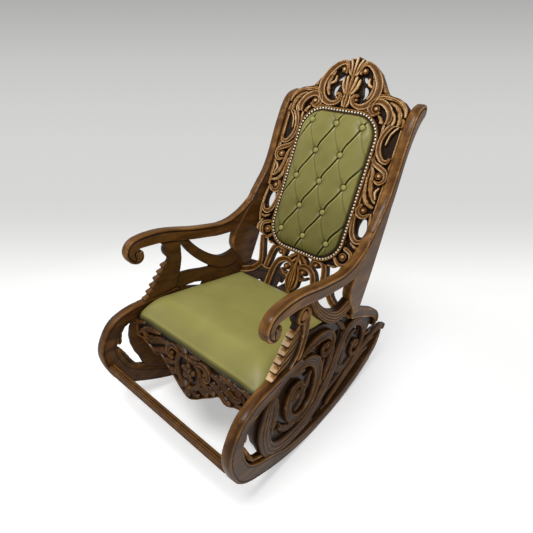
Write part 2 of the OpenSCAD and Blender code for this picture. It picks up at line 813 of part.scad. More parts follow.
// Half width of a rounded oblong at a height t above or below its middle
function oblong_half(t, half_w, half_h, corner) =
  let (over = max(abs(t) - half_h + corner, 0))
  half_w - corner + sqrt(max(corner * corner - over * over, 0));

// How far a point lies inside a rounded oblong
function oblong_depth(x, y, half_w, half_h, corner) =
  let (dx = abs(x) - half_w + corner, dy = abs(y) - half_h + corner)
  corner - (dx > 0 && dy > 0 ? norm([dx, dy]) : max(dx, dy));

// Rises from 0 at the edge to 1 at a given depth inside it, steeply at first
function swell(depth, reach) =
  let (t = 1 - min(max(depth / reach, 0), 1)) sqrt(1 - t * t);

seat_columns = 24;
seat_rows = 24;
// Hollow under the cushion, where its webbing would be: [share of its outline, share of its height]
cushion_hollow_shares = [[1, 0], [0.93, 0], [0.93, 0.44], [0.60, 0.75]];
cushion_ceiling_share = 0.80;

// Lean of the back carvings against the seat, and the cushion's depth from the seat's front to them
carving_lean = back_recline - seat_slope;
carving_foot = back_setback - carving_front * cos(back_recline)
  - (back_height + carving_front * sin(back_recline) - seat_height) * tan(back_recline);
cushion_depth = (carving_foot - seat_front) * cos(back_recline) / cos(carving_lean) - cushion_gap;

function cushion_half(y) = inner_half(seat_front + y) - cushion_gap;

// Row spacing that is closer at the front and back edges
function eased(t) = (1 - cos(180 * t)) / 2;

function cushion_top(i, j) = let (
    half = cushion_depth / 2,
    y = eased(j / seat_rows) * cushion_depth,
    across = cushion_half(y),
    inset = across - oblong_half(y - half, across, half, cushion_corner),
    x = (across - inset) * -cos(180 * i / seat_columns),
    depth = oblong_depth(x, y - half, across, half, cushion_corner),
    front = mix(0.55, 1, swell(y, cushion_depth / 5)),
    rise = cushion_side * front + cushion_crown / 2 * swell(depth, cushion_depth / 12)
      + cushion_crown / 2 * swell(depth, cushion_depth / 2)
  ) [x, y, rise - cushion_side / 6 * (1 - swell(depth, cushion_depth / 40))];

// Leans the cushion's back edge so that it follows the carvings behind it
function leaned(p) = [p.x, p.y + p.z * tan(carving_lean) * p.y / cushion_depth, p.z];

module seat_cushion() {
  grid = [for (j = [0 : seat_rows]) for (i = [0 : seat_columns]) cushion_top(i, j)];
  rim = grid_rim(grid, seat_columns, seat_rows);
  height = cushion_side + cushion_crown;
  middle = cushion_depth / 2;
  floor_gap = cushion_gap / 2;
  color(olive)
    on_seat()
      polyhedron(
        points = concat(
          [for (p = grid) leaned(p)],
          [for (ring = cushion_hollow_shares) for (p = rim)
            [p.x * ring.x, mix(middle, p.y, ring.x), floor_gap + height * ring.y]],
          [[0, middle, height * cushion_ceiling_share]]
        ),
        faces = grid_faces(seat_columns, seat_rows, len(cushion_hollow_shares))
      );
}

// A rail that is fluted along its front and upper sides
module front_stretcher() {
  flutes = 3;
  color(walnut)
    between_sides(0)
      translate([0, stretcher_share.x, stretcher_share.y] * side_length)
        rotate([90, 0, 90])
          translate([0, 0, -side_length / 2])
            linear_extrude(height = side_length)
              difference() {
                square([stretcher_depth, stretcher_height], center = true);
                for (i = [0 : flutes - 1])
                  translate([-stretcher_depth / 2, (i - (flutes - 1) / 2) * stretcher_height / flutes])
                    circle(r = stretcher_height / flutes / 3, $fn = round_facets);
              }
}

// Back frame of reference: the middle of the padded panel; +Z points out of its front
module on_back() {
  translate([0, back_setback, back_height])
    rotate([90 - back_recline, 0, 0])
      children();
}

module rounded_oblong_2d(half_w, half_h, corner) {
  square([half_w * 2, (half_h - corner) * 2], center = true);
  square([(half_w - corner) * 2, half_h * 2], center = true);
  for (x = [corner - half_w, half_w - corner])
    for (y = [corner - half_h, half_h - corner])
      translate([x, y])
        circle(r = corner, $fn = round_facets * 2);
}

module frame_outline_2d() {
  rounded_oblong_2d(frame_half_w, frame_half_h, pad_corner + back_moulding);
}

// The opening that the pad and the back board are set into
module pad_outline_2d() {
  inset = nail_radius * 2;
  rounded_oblong_2d(nail_half_w - inset, nail_half_h - inset, pad_corner - inset);
}

module back_frame() {
  color(walnut)
    on_back()
      translate([0, 0, -back_frame_thickness])
        linear_extrude(height = back_frame_thickness)
          difference() {
            frame_outline_2d();
            pad_outline_2d();
          }
}

module back_board() {
  color(dark_walnut)
    on_back()
      translate([0, 0, -back_frame_thickness])
        linear_extrude(height = back_board_thickness)
          pad_outline_2d();
}

module carving_layer() {
  between_sides(0)
    on_back()
      translate([0, 0, carving_front - carving_thickness])
        linear_extrude(height = carving_thickness)
          children();
}

// Raised ornament on the face of a carving
module raised_carving() {
  between_sides(0)
    on_back()
      translate([0, 0, carving_front])
        linear_extrude(height = carving_relief)
          children();
}

// A point of the strip beside the frame, from its shares
function on_strip(p) = [frame_half_w + p.x * carving_strip, p.y * frame_half_h, p.z * carving_strip];

module strip_band_2d(shares) {
  polygon(band(smooth([for (p = shares) on_strip(p)])));
}

module back_carving_2d() {
  difference() {
    polygon(concat(
      [for (p = carving_foot_shares) p * frame_half_h],
      [[1, crest_foot_share] * frame_half_h, [0, crest_foot_share] * frame_half_h, [0, 0]]
    ));
    frame_outline_2d();
    strip_band_2d(carving_gap_shares);
  }
}

module side_scrolls_2d() {
  for (scroll = side_scroll_shares)
    strip_band_2d(scroll);
  for (eye = side_eye_shares)
    eye_2d(on_strip(eye), 1);
}

module left_back_carving() {
  color(walnut) {
    carving_layer() back_carving_2d();
    raised_carving()
      intersection() {
        back_carving_2d();
        side_scrolls_2d();
      }
  }
}

module right_back_carving() {
  other_side() left_back_carving();
}

module crest_2d() {
  difference() {
    polygon(mirrored(smooth(crest_shares) * frame_half_h));
    frame_outline_2d();
    for (side = [-1, 1])
      for (hole = crest_hole_shares)
        eye_2d([side * hole.x, hole.y, hole.z], frame_half_h);
  }
}

module half_crest_scrolls_2d() {
  for (scroll = crest_scroll_shares)
    band_2d(scroll, frame_half_h);
  for (eye = crest_eye_shares)
    eye_2d(eye, frame_half_h);
}

module crest() {
  color(walnut) {
    carving_layer() crest_2d();
    raised_carving()
      intersection() {
        crest_2d();
        union() {
          half_crest_scrolls_2d();
          mirror([1, 0]) half_crest_scrolls_2d();
        }
      }
  }
}

module splat_scrolls_2d() {
  band_2d(splat_outer_shares, frame_half_h);
  band_2d(splat_inner_shares, frame_half_h);
  band_2d(brace_leg_shares, frame_half_h);
  for (eye = splat_eye_shares)
    eye_2d(eye, frame_half_h);
}

module splat_leaf_2d() {
  polygon(mirrored(splat_leaf_shares * frame_half_h));
}

// The splat hangs from the back frame and stands on the seat board
module splat_piece() {
  color(walnut)
    difference() {
      carving_layer()
        difference() {
          children();
          frame_outline_2d();
        }
      on_seat()
        seat_block([0, -side_length], [side_length, side_length]);
    }
}

module left_splat_scrolls() {
  splat_piece()
    difference() {
      splat_scrolls_2d();
      splat_leaf_2d();
      back_carving_2d();
    }
}

module splat_leaf() {
  splat_piece() splat_leaf_2d();
}

// Buttons stand in rows of three and two by turns
function button_places() = [
  for (row = [-2 : 2])
    for (column = (row % 2 == 0) ? [-1 : 1] : [-0.5, 0.5])
      [column * button_pitch, row * button_row_pitch + button_lift]
];

// Pleats run between each button and its neighbours on the slant
function pleat_depth(x, y) = let (
    u = x / button_pitch,
    w = (y - button_lift) / button_row_pitch / 2,
    a = abs((u + w) - round(u + w)),
    b = abs((u - w) - round(u - w)),
    near = min(a, b) * button_pitch * 0.9
  ) max(1 - near / (button_radius * 1.6), 0);

function tuft_depth(x, y) = let (
    near = min([for (p = button_places()) norm([x - p.x, y - p.y])])
  ) 1 - swell(near - button_radius * 1.7, button_pitch * 0.32);

pad_columns = 24;
pad_rows = 40;
pad_clearance = cushion_gap / 2;

// The pad's own half sizes, just inside the frame's opening
pad_inset = nail_radius * 2 + pad_clearance;
pad_half_w = nail_half_w - pad_inset;
pad_half_h = nail_half_h - pad_inset;
pad_edge_corner = pad_corner - pad_inset;

// Height of the pad's leather: sunk by the buttons and less deeply along the pleats
function pad_rise(x, y) = let (
    body = swell(oblong_depth(x, y, pad_half_w, pad_half_h, pad_edge_corner), button_pitch / 2),
    tuft = tuft_depth(x, y),
    sunk = 0.62 * tuft + 0.28 * pleat_depth(x, y) * (1 - tuft)
  ) pad_crown * body * (1 - sunk * body);

function pad_top(i, j) = let (
    y = (2 * j / pad_rows - 1) * pad_half_h,
    x = (2 * i / pad_columns - 1) * oblong_half(y, pad_half_w, pad_half_h, pad_edge_corner)
  ) [x, y, pad_rise(x, y)];

module back_pad() {
  grid = [for (j = [0 : pad_rows]) for (i = [0 : pad_columns]) pad_top(i, j)];
  rim = grid_rim(grid, pad_columns, pad_rows);
  underside = back_board_thickness + pad_clearance - back_frame_thickness;
  color(olive)
    on_back()
      polyhedron(
        points = concat(grid, [for (p = rim) [p.x, p.y, underside]], [[0, 0, underside]]),
        faces = grid_faces(pad_columns, pad_rows, 1)
      );
}

// A low dome of a given radius and height
module dome(radius, height) {
  sphere_radius = (radius * radius + height * height) / (2 * height);
  intersection() {
    translate([0, 0, height - sphere_radius])
      sphere(r = sphere_radius, $fn = round_facets);
    cylinder(r = radius, h = height, $fn = round_facets);
  }
}

module back_buttons() {
  color(olive)
    on_back()
      for (p = button_places())
        translate([p.x, p.y, pad_rise(p.x, p.y) + pad_clearance * 3])
          dome(button_radius, button_height);
}

// Points at equal steps along a rounded oblong, starting at the top middle
function oblong_point(s, half_w, half_h, corner) = let (
    top = half_w - corner,
    arc = corner * PI / 2,
    side = 2 * (half_h - corner),
    d1 = top,
    d2 = d1 + arc,
    d3 = d2 + side,
    d4 = d3 + arc,
    a1 = (s - d1) / corner * 180 / PI,
    a3 = (s - d3) / corner * 180 / PI
  )
  s <= d1 ? [s, half_h] :
  s <= d2 ? [top + corner * sin(a1), half_h - corner + corner * cos(a1)] :
  s <= d3 ? [half_w, half_h - corner - (s - d2)] :
  s <= d4 ? [top + corner * cos(a3), corner - half_h - corner * sin(a3)] :
  [top - (s - d4), -half_h];

module back_nails() {
  half_length = 2 * (nail_half_w - pad_corner) + 2 * (nail_half_h - pad_corner) + PI * pad_corner;
  count = floor(half_length / nail_pitch);
  color(pearl)
    on_back()
      for (side = [-1, 1])
        for (k = [0 : count - 1]) {
          p = oblong_point((k + 0.5) * half_length / count, nail_half_w, nail_half_h, pad_corner);
          translate([side * p.x, p.y, 0])
            cylinder(r1 = nail_radius, r2 = nail_radius / 2, h = nail_radius / 2, $fn = round_facets / 2);
        }
}

module left_arm() { arm(); }
module right_arm() { other_side() arm(); }
module left_back_post() { back_post(); }
module right_back_post() { other_side() back_post(); }
module left_front_post() { front_post(); }
module right_front_post() { other_side() front_post(); }
module left_front_loop() { front_loop(); }
module right_front_loop() { other_side() front_loop(); }
module left_runner() { runner(); }
module right_runner() { other_side() runner(); }
module left_rear_rail() { rear_rail(); }
module right_rear_rail() { other_side() rear_rail(); }
module left_arm_brace() { arm_brace(); }
module right_arm_brace() { other_side() arm_brace(); }
module left_side_panel() { side_panel(); }
module right_side_panel() { other_side() side_panel(); }
module left_ring_scroll() { ring_scroll(); }
module right_ring_scroll() { other_side() ring_scroll(); }
module left_inner_scroll() { inner_scroll(); }
module right_inner_scroll() { other_side() inner_scroll(); }
module left_middle_scroll() { middle_scroll(); }
module right_middle_scroll() { other_side() middle_scroll(); }
module left_lower_rib() { lower_rib(); }
module right_lower_rib() { other_side() lower_rib(); }
module left_seat_rail() { seat_rail(); }
module right_seat_rail() { other_side() seat_rail(); }
module right_splat_scrolls() { other_side() left_splat_scrolls(); }

left_arm();
right_arm();
left_back_post();
right_back_post();
left_front_post();
right_front_post();
left_front_loop();
right_front_loop();
left_runner();
right_runner();
left_rear_rail();
right_rear_rail();
left_arm_brace();
right_arm_brace();
left_side_panel();
right_side_panel();
left_ring_scroll();
right_ring_scroll();
left_inner_scroll();
right_inner_scroll();
left_middle_scroll();
right_middle_scroll();
left_lower_rib();
right_lower_rib();
left_seat_rail();
right_seat_rail();
front_apron();
apron_carving();
rear_seat_rail();
corner_blocks();
seat_board();
seat_cushion();
front_stretcher();
back_frame();
left_back_carving();
right_back_carving();
crest();
left_splat_scrolls();
right_splat_scrolls();
splat_leaf();
back_board();
back_pad();
back_buttons();
back_nails();
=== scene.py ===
# %% [markdown]
# A carved rocking chair: two pierced side frames stand on curved runners and carry a boxed leather seat and a tall
# buttoned back under a carved crest. Its CAD model has the right places and sizes, but plain surfaces. This lesson
# lays a detailed piece over each CAD part. The CAD model is loaded first.

# %% Load the CAD model
import bpy
import math
import numpy as np
from mathutils import Matrix, Vector

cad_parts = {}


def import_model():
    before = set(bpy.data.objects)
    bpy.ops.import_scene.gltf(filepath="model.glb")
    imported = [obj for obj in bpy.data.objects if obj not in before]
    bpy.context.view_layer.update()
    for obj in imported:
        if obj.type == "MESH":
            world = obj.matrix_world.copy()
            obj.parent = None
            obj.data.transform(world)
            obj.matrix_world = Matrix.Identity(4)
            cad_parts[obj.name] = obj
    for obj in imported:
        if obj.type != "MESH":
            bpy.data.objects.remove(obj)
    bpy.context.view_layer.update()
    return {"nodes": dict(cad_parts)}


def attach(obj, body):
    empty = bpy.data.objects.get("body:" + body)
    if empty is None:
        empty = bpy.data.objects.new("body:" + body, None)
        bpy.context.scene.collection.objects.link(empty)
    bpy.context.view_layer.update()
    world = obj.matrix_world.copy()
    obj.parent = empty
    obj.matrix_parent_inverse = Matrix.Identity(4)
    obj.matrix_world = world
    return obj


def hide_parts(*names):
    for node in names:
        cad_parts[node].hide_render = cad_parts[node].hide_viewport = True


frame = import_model()
print("nodes in the CAD model:", len(frame["nodes"]))

# %% [markdown]
# Each side of the chair is one flat frame, and the two turn in a little towards the back. A side could be modelled
# where it stands, but its curves are far easier to draw flat. So every side piece is drawn in two numbers, front to
# back and height, and one function stands it on edge. The other side is its mirror image. Lengths are metres.

# %% How a side stands
SIDE_T = 0.030
SPLAY = math.radians(3.05)
SHIFT = -0.009
CLEAR_WIDTH = 0.468
OUTER_HALF = CLEAR_WIDTH / 2 + SIDE_T / math.cos(SPLAY)


def on_side(a, b, depth):
    """World points of the left side: depth runs from its outer face inwards."""
    a = a + SHIFT
    x = OUTER_HALF - depth * math.cos(SPLAY) - a * math.sin(SPLAY)
    y = -depth * math.sin(SPLAY) + a * math.cos(SPLAY)
    return np.stack([x, y, b], -1)


def inner_half(y):
    """Half of the clear width between the sides, at a distance from front to back."""
    return CLEAR_WIDTH / 2 - y * math.tan(SPLAY)


print("clear width 0.4 m before and behind the middle:", round(2 * inner_half(-0.4), 4), round(2 * inner_half(0.4), 4))

# %% [markdown]
# Most of the chair is bands that follow curves: arms, ribs, scrolls and leaves. Blender's curve objects could draw
# them, but where two bands meet they would still have to be cut against each other. Here a curve is a short list of
# (x, y, half width). It is smoothed, and any point can then be asked how far it lies inside the band.

# %% Curves
def smooth(points, steps=8):
    """More points, on a smooth line through the given ones."""
    p = np.array(points, float)
    q = np.vstack([p[:1], p, p[-1:]])
    t = np.linspace(0, 1, steps, endpoint=False)[:, None]
    out = []
    for i in range(len(p) - 1):
        a, b, c, d = q[i:i + 4]
        out.append((2 * b + (c - a) * t + (2 * a - 5 * b + 4 * c - d) * t ** 2 + (3 * b - a - 3 * c + d) * t ** 3) / 2)
    return np.vstack(out + [p[-1:]])


print("a smoothed line of 3 points has", len(smooth([(0, 0, 1), (1, 1, 1), (2, 0, 1)])), "points")

# %% Distance from a curve
def nearest(uv, curve, margin=0.012):
    """For each point: its distance from the curve less the half width there, and its signed share across."""
    gap, across = np.ones(len(uv)), np.zeros(len(uv))
    reach = curve[:, 2].max() + margin
    low, high = curve[:, :2].min(axis=0) - reach, curve[:, :2].max(axis=0) + reach
    close = np.nonzero(((uv > low) & (uv < high)).all(axis=1))[0]
    x, y = uv[close].T
    best, share = np.ones(len(close)), np.zeros(len(close))
    for (ax, ay, aw), (bx, by, bw) in zip(curve[:-1], curve[1:]):
        sx, sy, rx, ry = bx - ax, by - ay, x - ax, y - ay
        length = max(math.hypot(sx, sy), 1e-9)
        t = np.clip((rx * sx + ry * sy) / length ** 2, 0, 1)
        width = aw + t * (bw - aw)
        dist = np.hypot(rx - t * sx, ry - t * sy)
        near = dist - width < best
        best[near] = (dist - width)[near]
        share[near] = (np.sign(sx * ry - sy * rx) * dist / np.maximum(width, 1e-6))[near]
    gap[close], across[close] = best, share
    return gap, across


# %% Shapes of edges and grooves
def bell(distance, width):
    """1 at no distance, fading to nothing over about two widths."""
    return np.exp(-(distance / width) ** 2)


def round_over(deep, radius):
    """How far a rounded edge falls away from a face, for the depth inside its outline."""
    t = np.clip(1 - deep / radius, 0, 1)
    return radius * (1 - np.sqrt(1 - t * t))


print("a groove 2 mm wide at 0, 2 and 4 mm from it:", np.round(bell(np.array([0, 2, 4]), 2), 3))

# %% [markdown]
# A piece's outline is a footprint: a function that is positive inside the piece and says how deep each point lies
# there. Boolean modifiers could cut and join solids, but they often fail where faces touch. Footprints never do, and
# the depth they give shapes the rounded edges and grooves later.

# %% Footprints
def band(points):
    """A band round a smooth curve."""
    curve = smooth(points)
    return lambda uv: -nearest(uv, curve)[0]


def disc(x, y, r):
    return lambda uv: r - np.hypot(uv[:, 0] - x, uv[:, 1] - y)


def rounded_depth(x, y, half_w, half_h, r):
    """The depth inside an oblong with corners of radius r."""
    dx, dy = np.abs(x) - half_w + r, np.abs(y) - half_h + r
    return r - np.where((dx > 0) & (dy > 0), np.hypot(dx, dy), np.maximum(dx, dy))


def oblong(half_w, half_h, r):
    return lambda uv: rounded_depth(uv[:, 0], uv[:, 1], half_w, half_h, r)


# %% Footprint of a closed outline
def polygon(points):
    p = np.array(points, float)

    def depth(uv):
        best = np.full(len(uv), 1e9)
        inside = np.zeros(len(uv), bool)
        for a, b in zip(p, np.roll(p, -1, axis=0)):
            seg = b - a
            t = np.clip(((uv - a) @ seg) / max(seg @ seg, 1e-12), 0, 1)
            best = np.minimum(best, np.linalg.norm(uv - a - t[:, None] * seg, axis=1))
            cross = (a[1] > uv[:, 1]) != (b[1] > uv[:, 1])
            with np.errstate(divide="ignore", invalid="ignore"):
                x = a[0] + (uv[:, 1] - a[1]) * seg[0] / seg[1]
            inside ^= cross & (uv[:, 0] < x)
        return np.where(inside, best, -best)
    return depth


# %% Joining and cutting footprints
def join(*parts):
    return lambda uv: np.max([p(uv) for p in parts], axis=0)


def both(*parts):
    return lambda uv: np.min([p(uv) for p in parts], axis=0)


def cut(base, *parts):
    return lambda uv: np.min([base(uv)] + [-p(uv) for p in parts], axis=0)


def mirrored(shape, lift=0.0):
    """A footprint drawn as its right half, and lifted."""
    return lambda uv: shape(np.stack([np.abs(uv[:, 0]), uv[:, 1] - lift], -1))


def past(u):
    return lambda uv: uv[:, 0] - u


def before(u):
    return lambda uv: u - uv[:, 0]


def above(v):
    return lambda uv: uv[:, 1] - v


def below(v):
    return lambda uv: v - uv[:, 1]


def left_of_line(a, b):
    """Everything to the left of the line from a to b."""
    a, b = np.array(a, float), np.array(b, float)
    d = (b - a) / np.linalg.norm(b - a)
    return lambda uv: d[0] * (uv[:, 1] - a[1]) - d[1] * (uv[:, 0] - a[0])


half_disc = both(disc(0, 0, 0.1), above(0))
print("depth in a half disc:", half_disc(np.array([[0, 0.02], [0, -0.02]])))

# %% [markdown]
# Carving is a relief: a sheet of fine faces in front, another behind, and a wall round each edge. A subdivided plane
# with a Displace modifier could carry it, but its outline would be stepped. Here the faces lie on a square grid,
# only where the footprint is positive, and the corners at an edge are pulled onto the outline, so curves stay smooth.

# %% Sheet of square faces
def sheet(inside, box, step):
    """Faces where inside(uv) > 0: their corners, which of them lie on an edge, faces, walls, and places in the grid."""
    gu, gv = np.meshgrid(np.arange(box[0] - step, box[1] + 2 * step, step),
                         np.arange(box[2] - step, box[3] + 2 * step, step), indexing="ij")
    s = inside(np.stack([gu.ravel(), gv.ravel()], -1)).reshape(gu.shape)
    s[[0, -1], :] = -step
    s[:, [0, -1]] = -step
    pos = s > 0
    cu = (gu[:-1, :-1] + gu[1:, 1:]) / 2
    cv = (gv[:-1, :-1] + gv[1:, 1:]) / 2
    # A corner beside the outline moves to the middle of the places where the outline crosses its grid square
    su, sv, n = np.zeros((3,) + cu.shape)
    first, last = slice(0, -1), slice(1, None)
    square = [(first, first), (last, first), (last, last), (first, last)]
    for i, j in zip(square, square[1:] + square[:1]):
        hit = pos[i] != pos[j]
        t = s[i] / np.where(hit, s[i] - s[j], 1)
        su += hit * (gu[i] + t * (gu[j] - gu[i]))
        sv += hit * (gv[i] + t * (gv[j] - gv[i]))
        n += hit
    edge = n > 0
    cu[edge], cv[edge] = su[edge] / n[edge], sv[edge] / n[edge]
    i, j = np.nonzero(pos)
    a, b, c, d = [x * cu.shape[1] + y for x, y in ((i - 1, j - 1), (i, j - 1), (i, j), (i - 1, j))]
    walls = np.vstack([np.stack([p, q], -1)[~pos[i + di, j + dj]]
                       for di, dj, p, q in ((1, 0, b, c), (-1, 0, d, a), (0, 1, c, d), (0, -1, a, b))])
    used, faces = np.unique(np.stack([a, b, c, d], -1), return_inverse=True)
    uv = np.stack([cu.ravel()[used], cv.ravel()[used]], -1)
    return uv, edge.ravel()[used], faces.reshape(-1, 4), np.searchsorted(used, walls), used, cu.shape


print("faces in a disc 20 mm wide:", len(sheet(disc(0, 0, 0.010), (-0.01, 0.01, -0.01, 0.01), 0.001)[2]))

# %% [markdown]
# The finish is worn off what stands out and has stayed dark in the hollows, and shade falls there too, so the tone
# paints both: wear, painted shade in the hollows and a painted highlight on what stands out. Blender's ambient
# occlusion node could find the hollows' shade, but it works only while rendering. So each relief compares its points
# with the mean height round them, and keeps the answer as a number on its points, called tone: 0 in a hollow and 1 on
# a high point.

# %% Tone of high points and hollows
def square_sum(field, n):
    """The sum over the n cells on every side of each cell."""
    for _ in ("down", "across"):
        total = np.cumsum(np.pad(field, ((n + 1, n), (0, 0))), axis=0)
        field = (total[2 * n + 1:] - total[:-2 * n - 1]).T
    return field


def wear_and_painted_shade(level, used, shape, step, reach=0.006, full_height=0.0024, strength=0.24):
    """How far each point of a relief stands above what is round it, as a change of tone: wear, painted shade in hollows
    and painted highlight on high points.
    """
    def round_it(values):
        field = np.zeros(shape)
        field.flat[used] = values
        return square_sum(field, max(1, round(reach / step))).ravel()[used]

    rise = level - level.mean()
    mean = round_it(rise) / np.maximum(round_it(np.ones(len(level))), 1)
    return strength * np.clip((rise - mean) / full_height, -1.2, 1.0)


print("cells summed round one cell:", int(square_sum(np.ones((9, 9)), 2)[4, 4]))

def paint(piece, tone):
    layer = piece.data.attributes.new("tone", "FLOAT", "POINT")
    layer.data.foreach_set("value", np.clip(tone, 0, 1).astype(np.float32))


# %% Meshes
SHARP = math.radians(38)


def new_object(name, data):
    thing = bpy.data.objects.new(name, data)
    bpy.context.scene.collection.objects.link(thing)
    return thing


def mesh(name, verts, faces, material):
    """A smoothly shaded mesh of four-sided faces, with its sharp edges kept."""
    data = bpy.data.meshes.new(name)
    verts, faces = np.asarray(verts, float), np.asarray(faces, int)
    data.vertices.add(len(verts))
    data.vertices.foreach_set("co", verts.ravel())
    data.loops.add(faces.size)
    data.loops.foreach_set("vertex_index", faces.ravel())
    data.polygons.add(len(faces))
    data.polygons.foreach_set("loop_start", np.arange(0, faces.size, 4))
    data.update(calc_edges=True)
    data.validate()
    data.shade_smooth()
    data.set_sharp_from_angle(angle=SHARP)
    data.materials.append(material)
    return new_object(name, data)


# %% Reliefs
def relief(name, inside, box, step, front, back, place, material):
    """A closed piece. front and back turn (points, depth inside) into (level, tone); place puts them in the world."""
    uv, on_edge, faces, walls, used, shape = sheet(inside, box, step)
    deep = np.where(on_edge, 0, np.maximum(inside(uv), 0))
    level, tone = front(uv, deep)
    low, low_tone = back(uv, deep)
    # Wear, with painted shade in the hollows and a painted highlight on the high points
    tone = tone + wear_and_painted_shade(level, used, shape, step) * np.sign(np.mean(level - low))
    verts = np.vstack([place(*uv.T, level), place(*uv.T, low)])
    n = len(uv)
    rim = np.stack([walls[:, 0], walls[:, 0] + n, walls[:, 1] + n, walls[:, 1]], -1)
    all_faces = np.vstack([faces, faces[:, ::-1] + n, rim])
    # Where placing has mirrored the faces, they are turned round, so that they point outwards
    p = verts[faces[0]]
    if np.cross(p[1] - p[0], p[2] - p[0]) @ (p[0] - verts[faces[0, 0] + n]) < 0:
        all_faces = all_faces[:, ::-1]
    piece = mesh(name, verts, all_faces, material)
    paint(piece, np.concatenate([tone, low_tone]))
    return piece


# %% Owning a piece, and its mirror image
def own(piece, slot, *nodes):
    """The piece rides on the chair and stands for CAD nodes, which are hidden; slot is not used."""
    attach(piece, "root")
    if nodes:
        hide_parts(*nodes)
    print(piece.name, len(piece.data.polygons), "faces")


def flip(piece, name):
    data = piece.data.copy()
    data.transform(Matrix.Scale(-1, 4, (1, 0, 0)))
    data.flip_normals()
    return new_object(name, data)


# %% [markdown]
# The wood is walnut, golden on its high points and nearly black in its hollows, partly from wear and partly from
# painted highlight and painted shade. It could be a painted image, but that would have to be painted again after every
# change of shape. Here a colour ramp turns the tone into a colour, and noise in the object's own coordinates, stretched
# along the chair, makes it lighter and darker like grain.

# %% Shader helpers
def new_material(name):
    """A material with its node tree and its shader."""
    material = bpy.data.materials.new(name)
    material.use_nodes = True
    return material, material.node_tree, material.node_tree.nodes["Principled BSDF"]


def set_inputs(node, **values):
    for key, value in values.items():
        node.inputs[key.replace("_", " ")].default_value = value


def add_node(tree, kind, links=(), settings=(), **values):
    """A node with its settings made, some inputs set and others linked."""
    node = tree.nodes.new(kind)
    for key, value in settings:
        setattr(node, key, value)
    set_inputs(node, **values)
    for key, source in links:
        tree.links.new(source, node.inputs[key])
    return node


# %% Colour and bump
def math_node(tree, operation, a, b):
    node = add_node(tree, "ShaderNodeMath", settings=[("operation", operation)])
    for socket, value in zip(node.inputs, (a, b)):
        if isinstance(value, (int, float)):
            socket.default_value = value
        else:
            tree.links.new(value, socket)
    return node.outputs["Value"]


def ramp(tree, source, stops):
    """A colour ramp through (place, colour) stops."""
    node = add_node(tree, "ShaderNodeValToRGB", [("Fac", source)])
    while len(node.color_ramp.elements) < len(stops):
        node.color_ramp.elements.new(0.5)
    for element, (place, colour) in zip(node.color_ramp.elements, stops):
        element.position = place
        element.color = (*colour, 1)
    return node.outputs["Color"]


def tone_colour(tree, noise, change, stops):
    """The tone on the points, varied by noise, as a colour."""
    tone = add_node(tree, "ShaderNodeAttribute", settings=[("attribute_name", "tone")])
    varied = math_node(tree, "MULTIPLY", math_node(tree, "SUBTRACT", noise, 0.5), change)
    return ramp(tree, math_node(tree, "ADD", tone.outputs["Fac"], varied), stops)


def bump(tree, shader, height, strength, distance):
    node = add_node(tree, "ShaderNodeBump", [("Height", height)], Strength=strength, Distance=distance)
    tree.links.new(node.outputs["Normal"], shader.inputs["Normal"])


# %% Walnut
def wood(name, stops, rough=0.36, grain=0.54, coat=0.16):
    material, tree, shader = new_material(name)
    coords = tree.nodes.new("ShaderNodeTexCoord")
    mapping = add_node(tree, "ShaderNodeMapping", [("Vector", coords.outputs["Object"])], Scale=(9, 2.4, 9))
    along = [("Vector", mapping.outputs["Vector"])]
    streaks = add_node(tree, "ShaderNodeTexNoise", along, Scale=4.0, Detail=6.0, Roughness=0.62, Distortion=0.6)
    pores = add_node(tree, "ShaderNodeTexNoise", along, Scale=90.0, Detail=4.0)
    tree.links.new(tone_colour(tree, streaks.outputs["Fac"], grain, stops), shader.inputs["Base Color"])
    set_inputs(shader, Roughness=rough, Specular_IOR_Level=0.10, Coat_Weight=coat, Coat_Roughness=0.24)
    bump(tree, shader, pores.outputs["Fac"], 0.12, 0.0006)
    return material


# The palest stop, a pinkish white, is the colour of a painted highlight
WALNUT_STOPS = [(0.0, (0.011, 0.005, 0.002)), (0.35, (0.048, 0.019, 0.005)), (0.60, (0.145, 0.060, 0.013)),
                (0.82, (0.340, 0.160, 0.040)), (1.0, (0.660, 0.460, 0.260))]
walnut = wood("carved_walnut", WALNUT_STOPS)
polished = wood("polished_walnut", WALNUT_STOPS, rough=0.33, grain=0.76, coat=0.18)
print("wood:", walnut.name, polished.name)

# %% [markdown]
# An arm is one smooth member: it rolls into a scroll at the front and sweeps back and up into the back post. It could
# be a bevelled curve, but its width changes all along and it is flat on both faces. So it is a band, with rounded
# edges and a groove that follows its upper edge and winds round the eye of the scroll.

# %% Arms
ARM = [(-0.330, 0.563, 0.008), (-0.330, 0.547, 0.008), (-0.343, 0.539, 0.009), (-0.360, 0.549, 0.012),
       (-0.367, 0.571, 0.016), (-0.354, 0.591, 0.018), (-0.325, 0.599, 0.020), (-0.285, 0.602, 0.021),
       (-0.245, 0.601, 0.021), (-0.200, 0.595, 0.021), (-0.138, 0.585, 0.021), (-0.077, 0.579, 0.021),
       (-0.026, 0.575, 0.022), (0.020, 0.578, 0.024), (0.058, 0.585, 0.029), (0.105, 0.607, 0.031),
       (0.143, 0.640, 0.029), (0.166, 0.674, 0.027), (0.190, 0.709, 0.027), (0.214, 0.744, 0.027),
       (0.230, 0.784, 0.024), (0.242, 0.825, 0.022), (0.250, 0.858, 0.021), (0.259, 0.893, 0.021),
       (0.272, 0.932, 0.022), (0.291, 0.975, 0.025), (0.312, 1.004, 0.027), (0.338, 1.020, 0.022)]
arm_curve, scroll_curve = smooth(ARM), smooth(ARM[3:])
arm_line = join(band(ARM), disc(-0.343, 0.557, 0.012))
before_post = both(left_of_line((0.030, 0.520), (0.140, 0.680)), below(0.680))


GROOVE_INSET = 0.0095
scroll_area = both(before(-0.305), disc(-0.340, 0.560, 0.027))


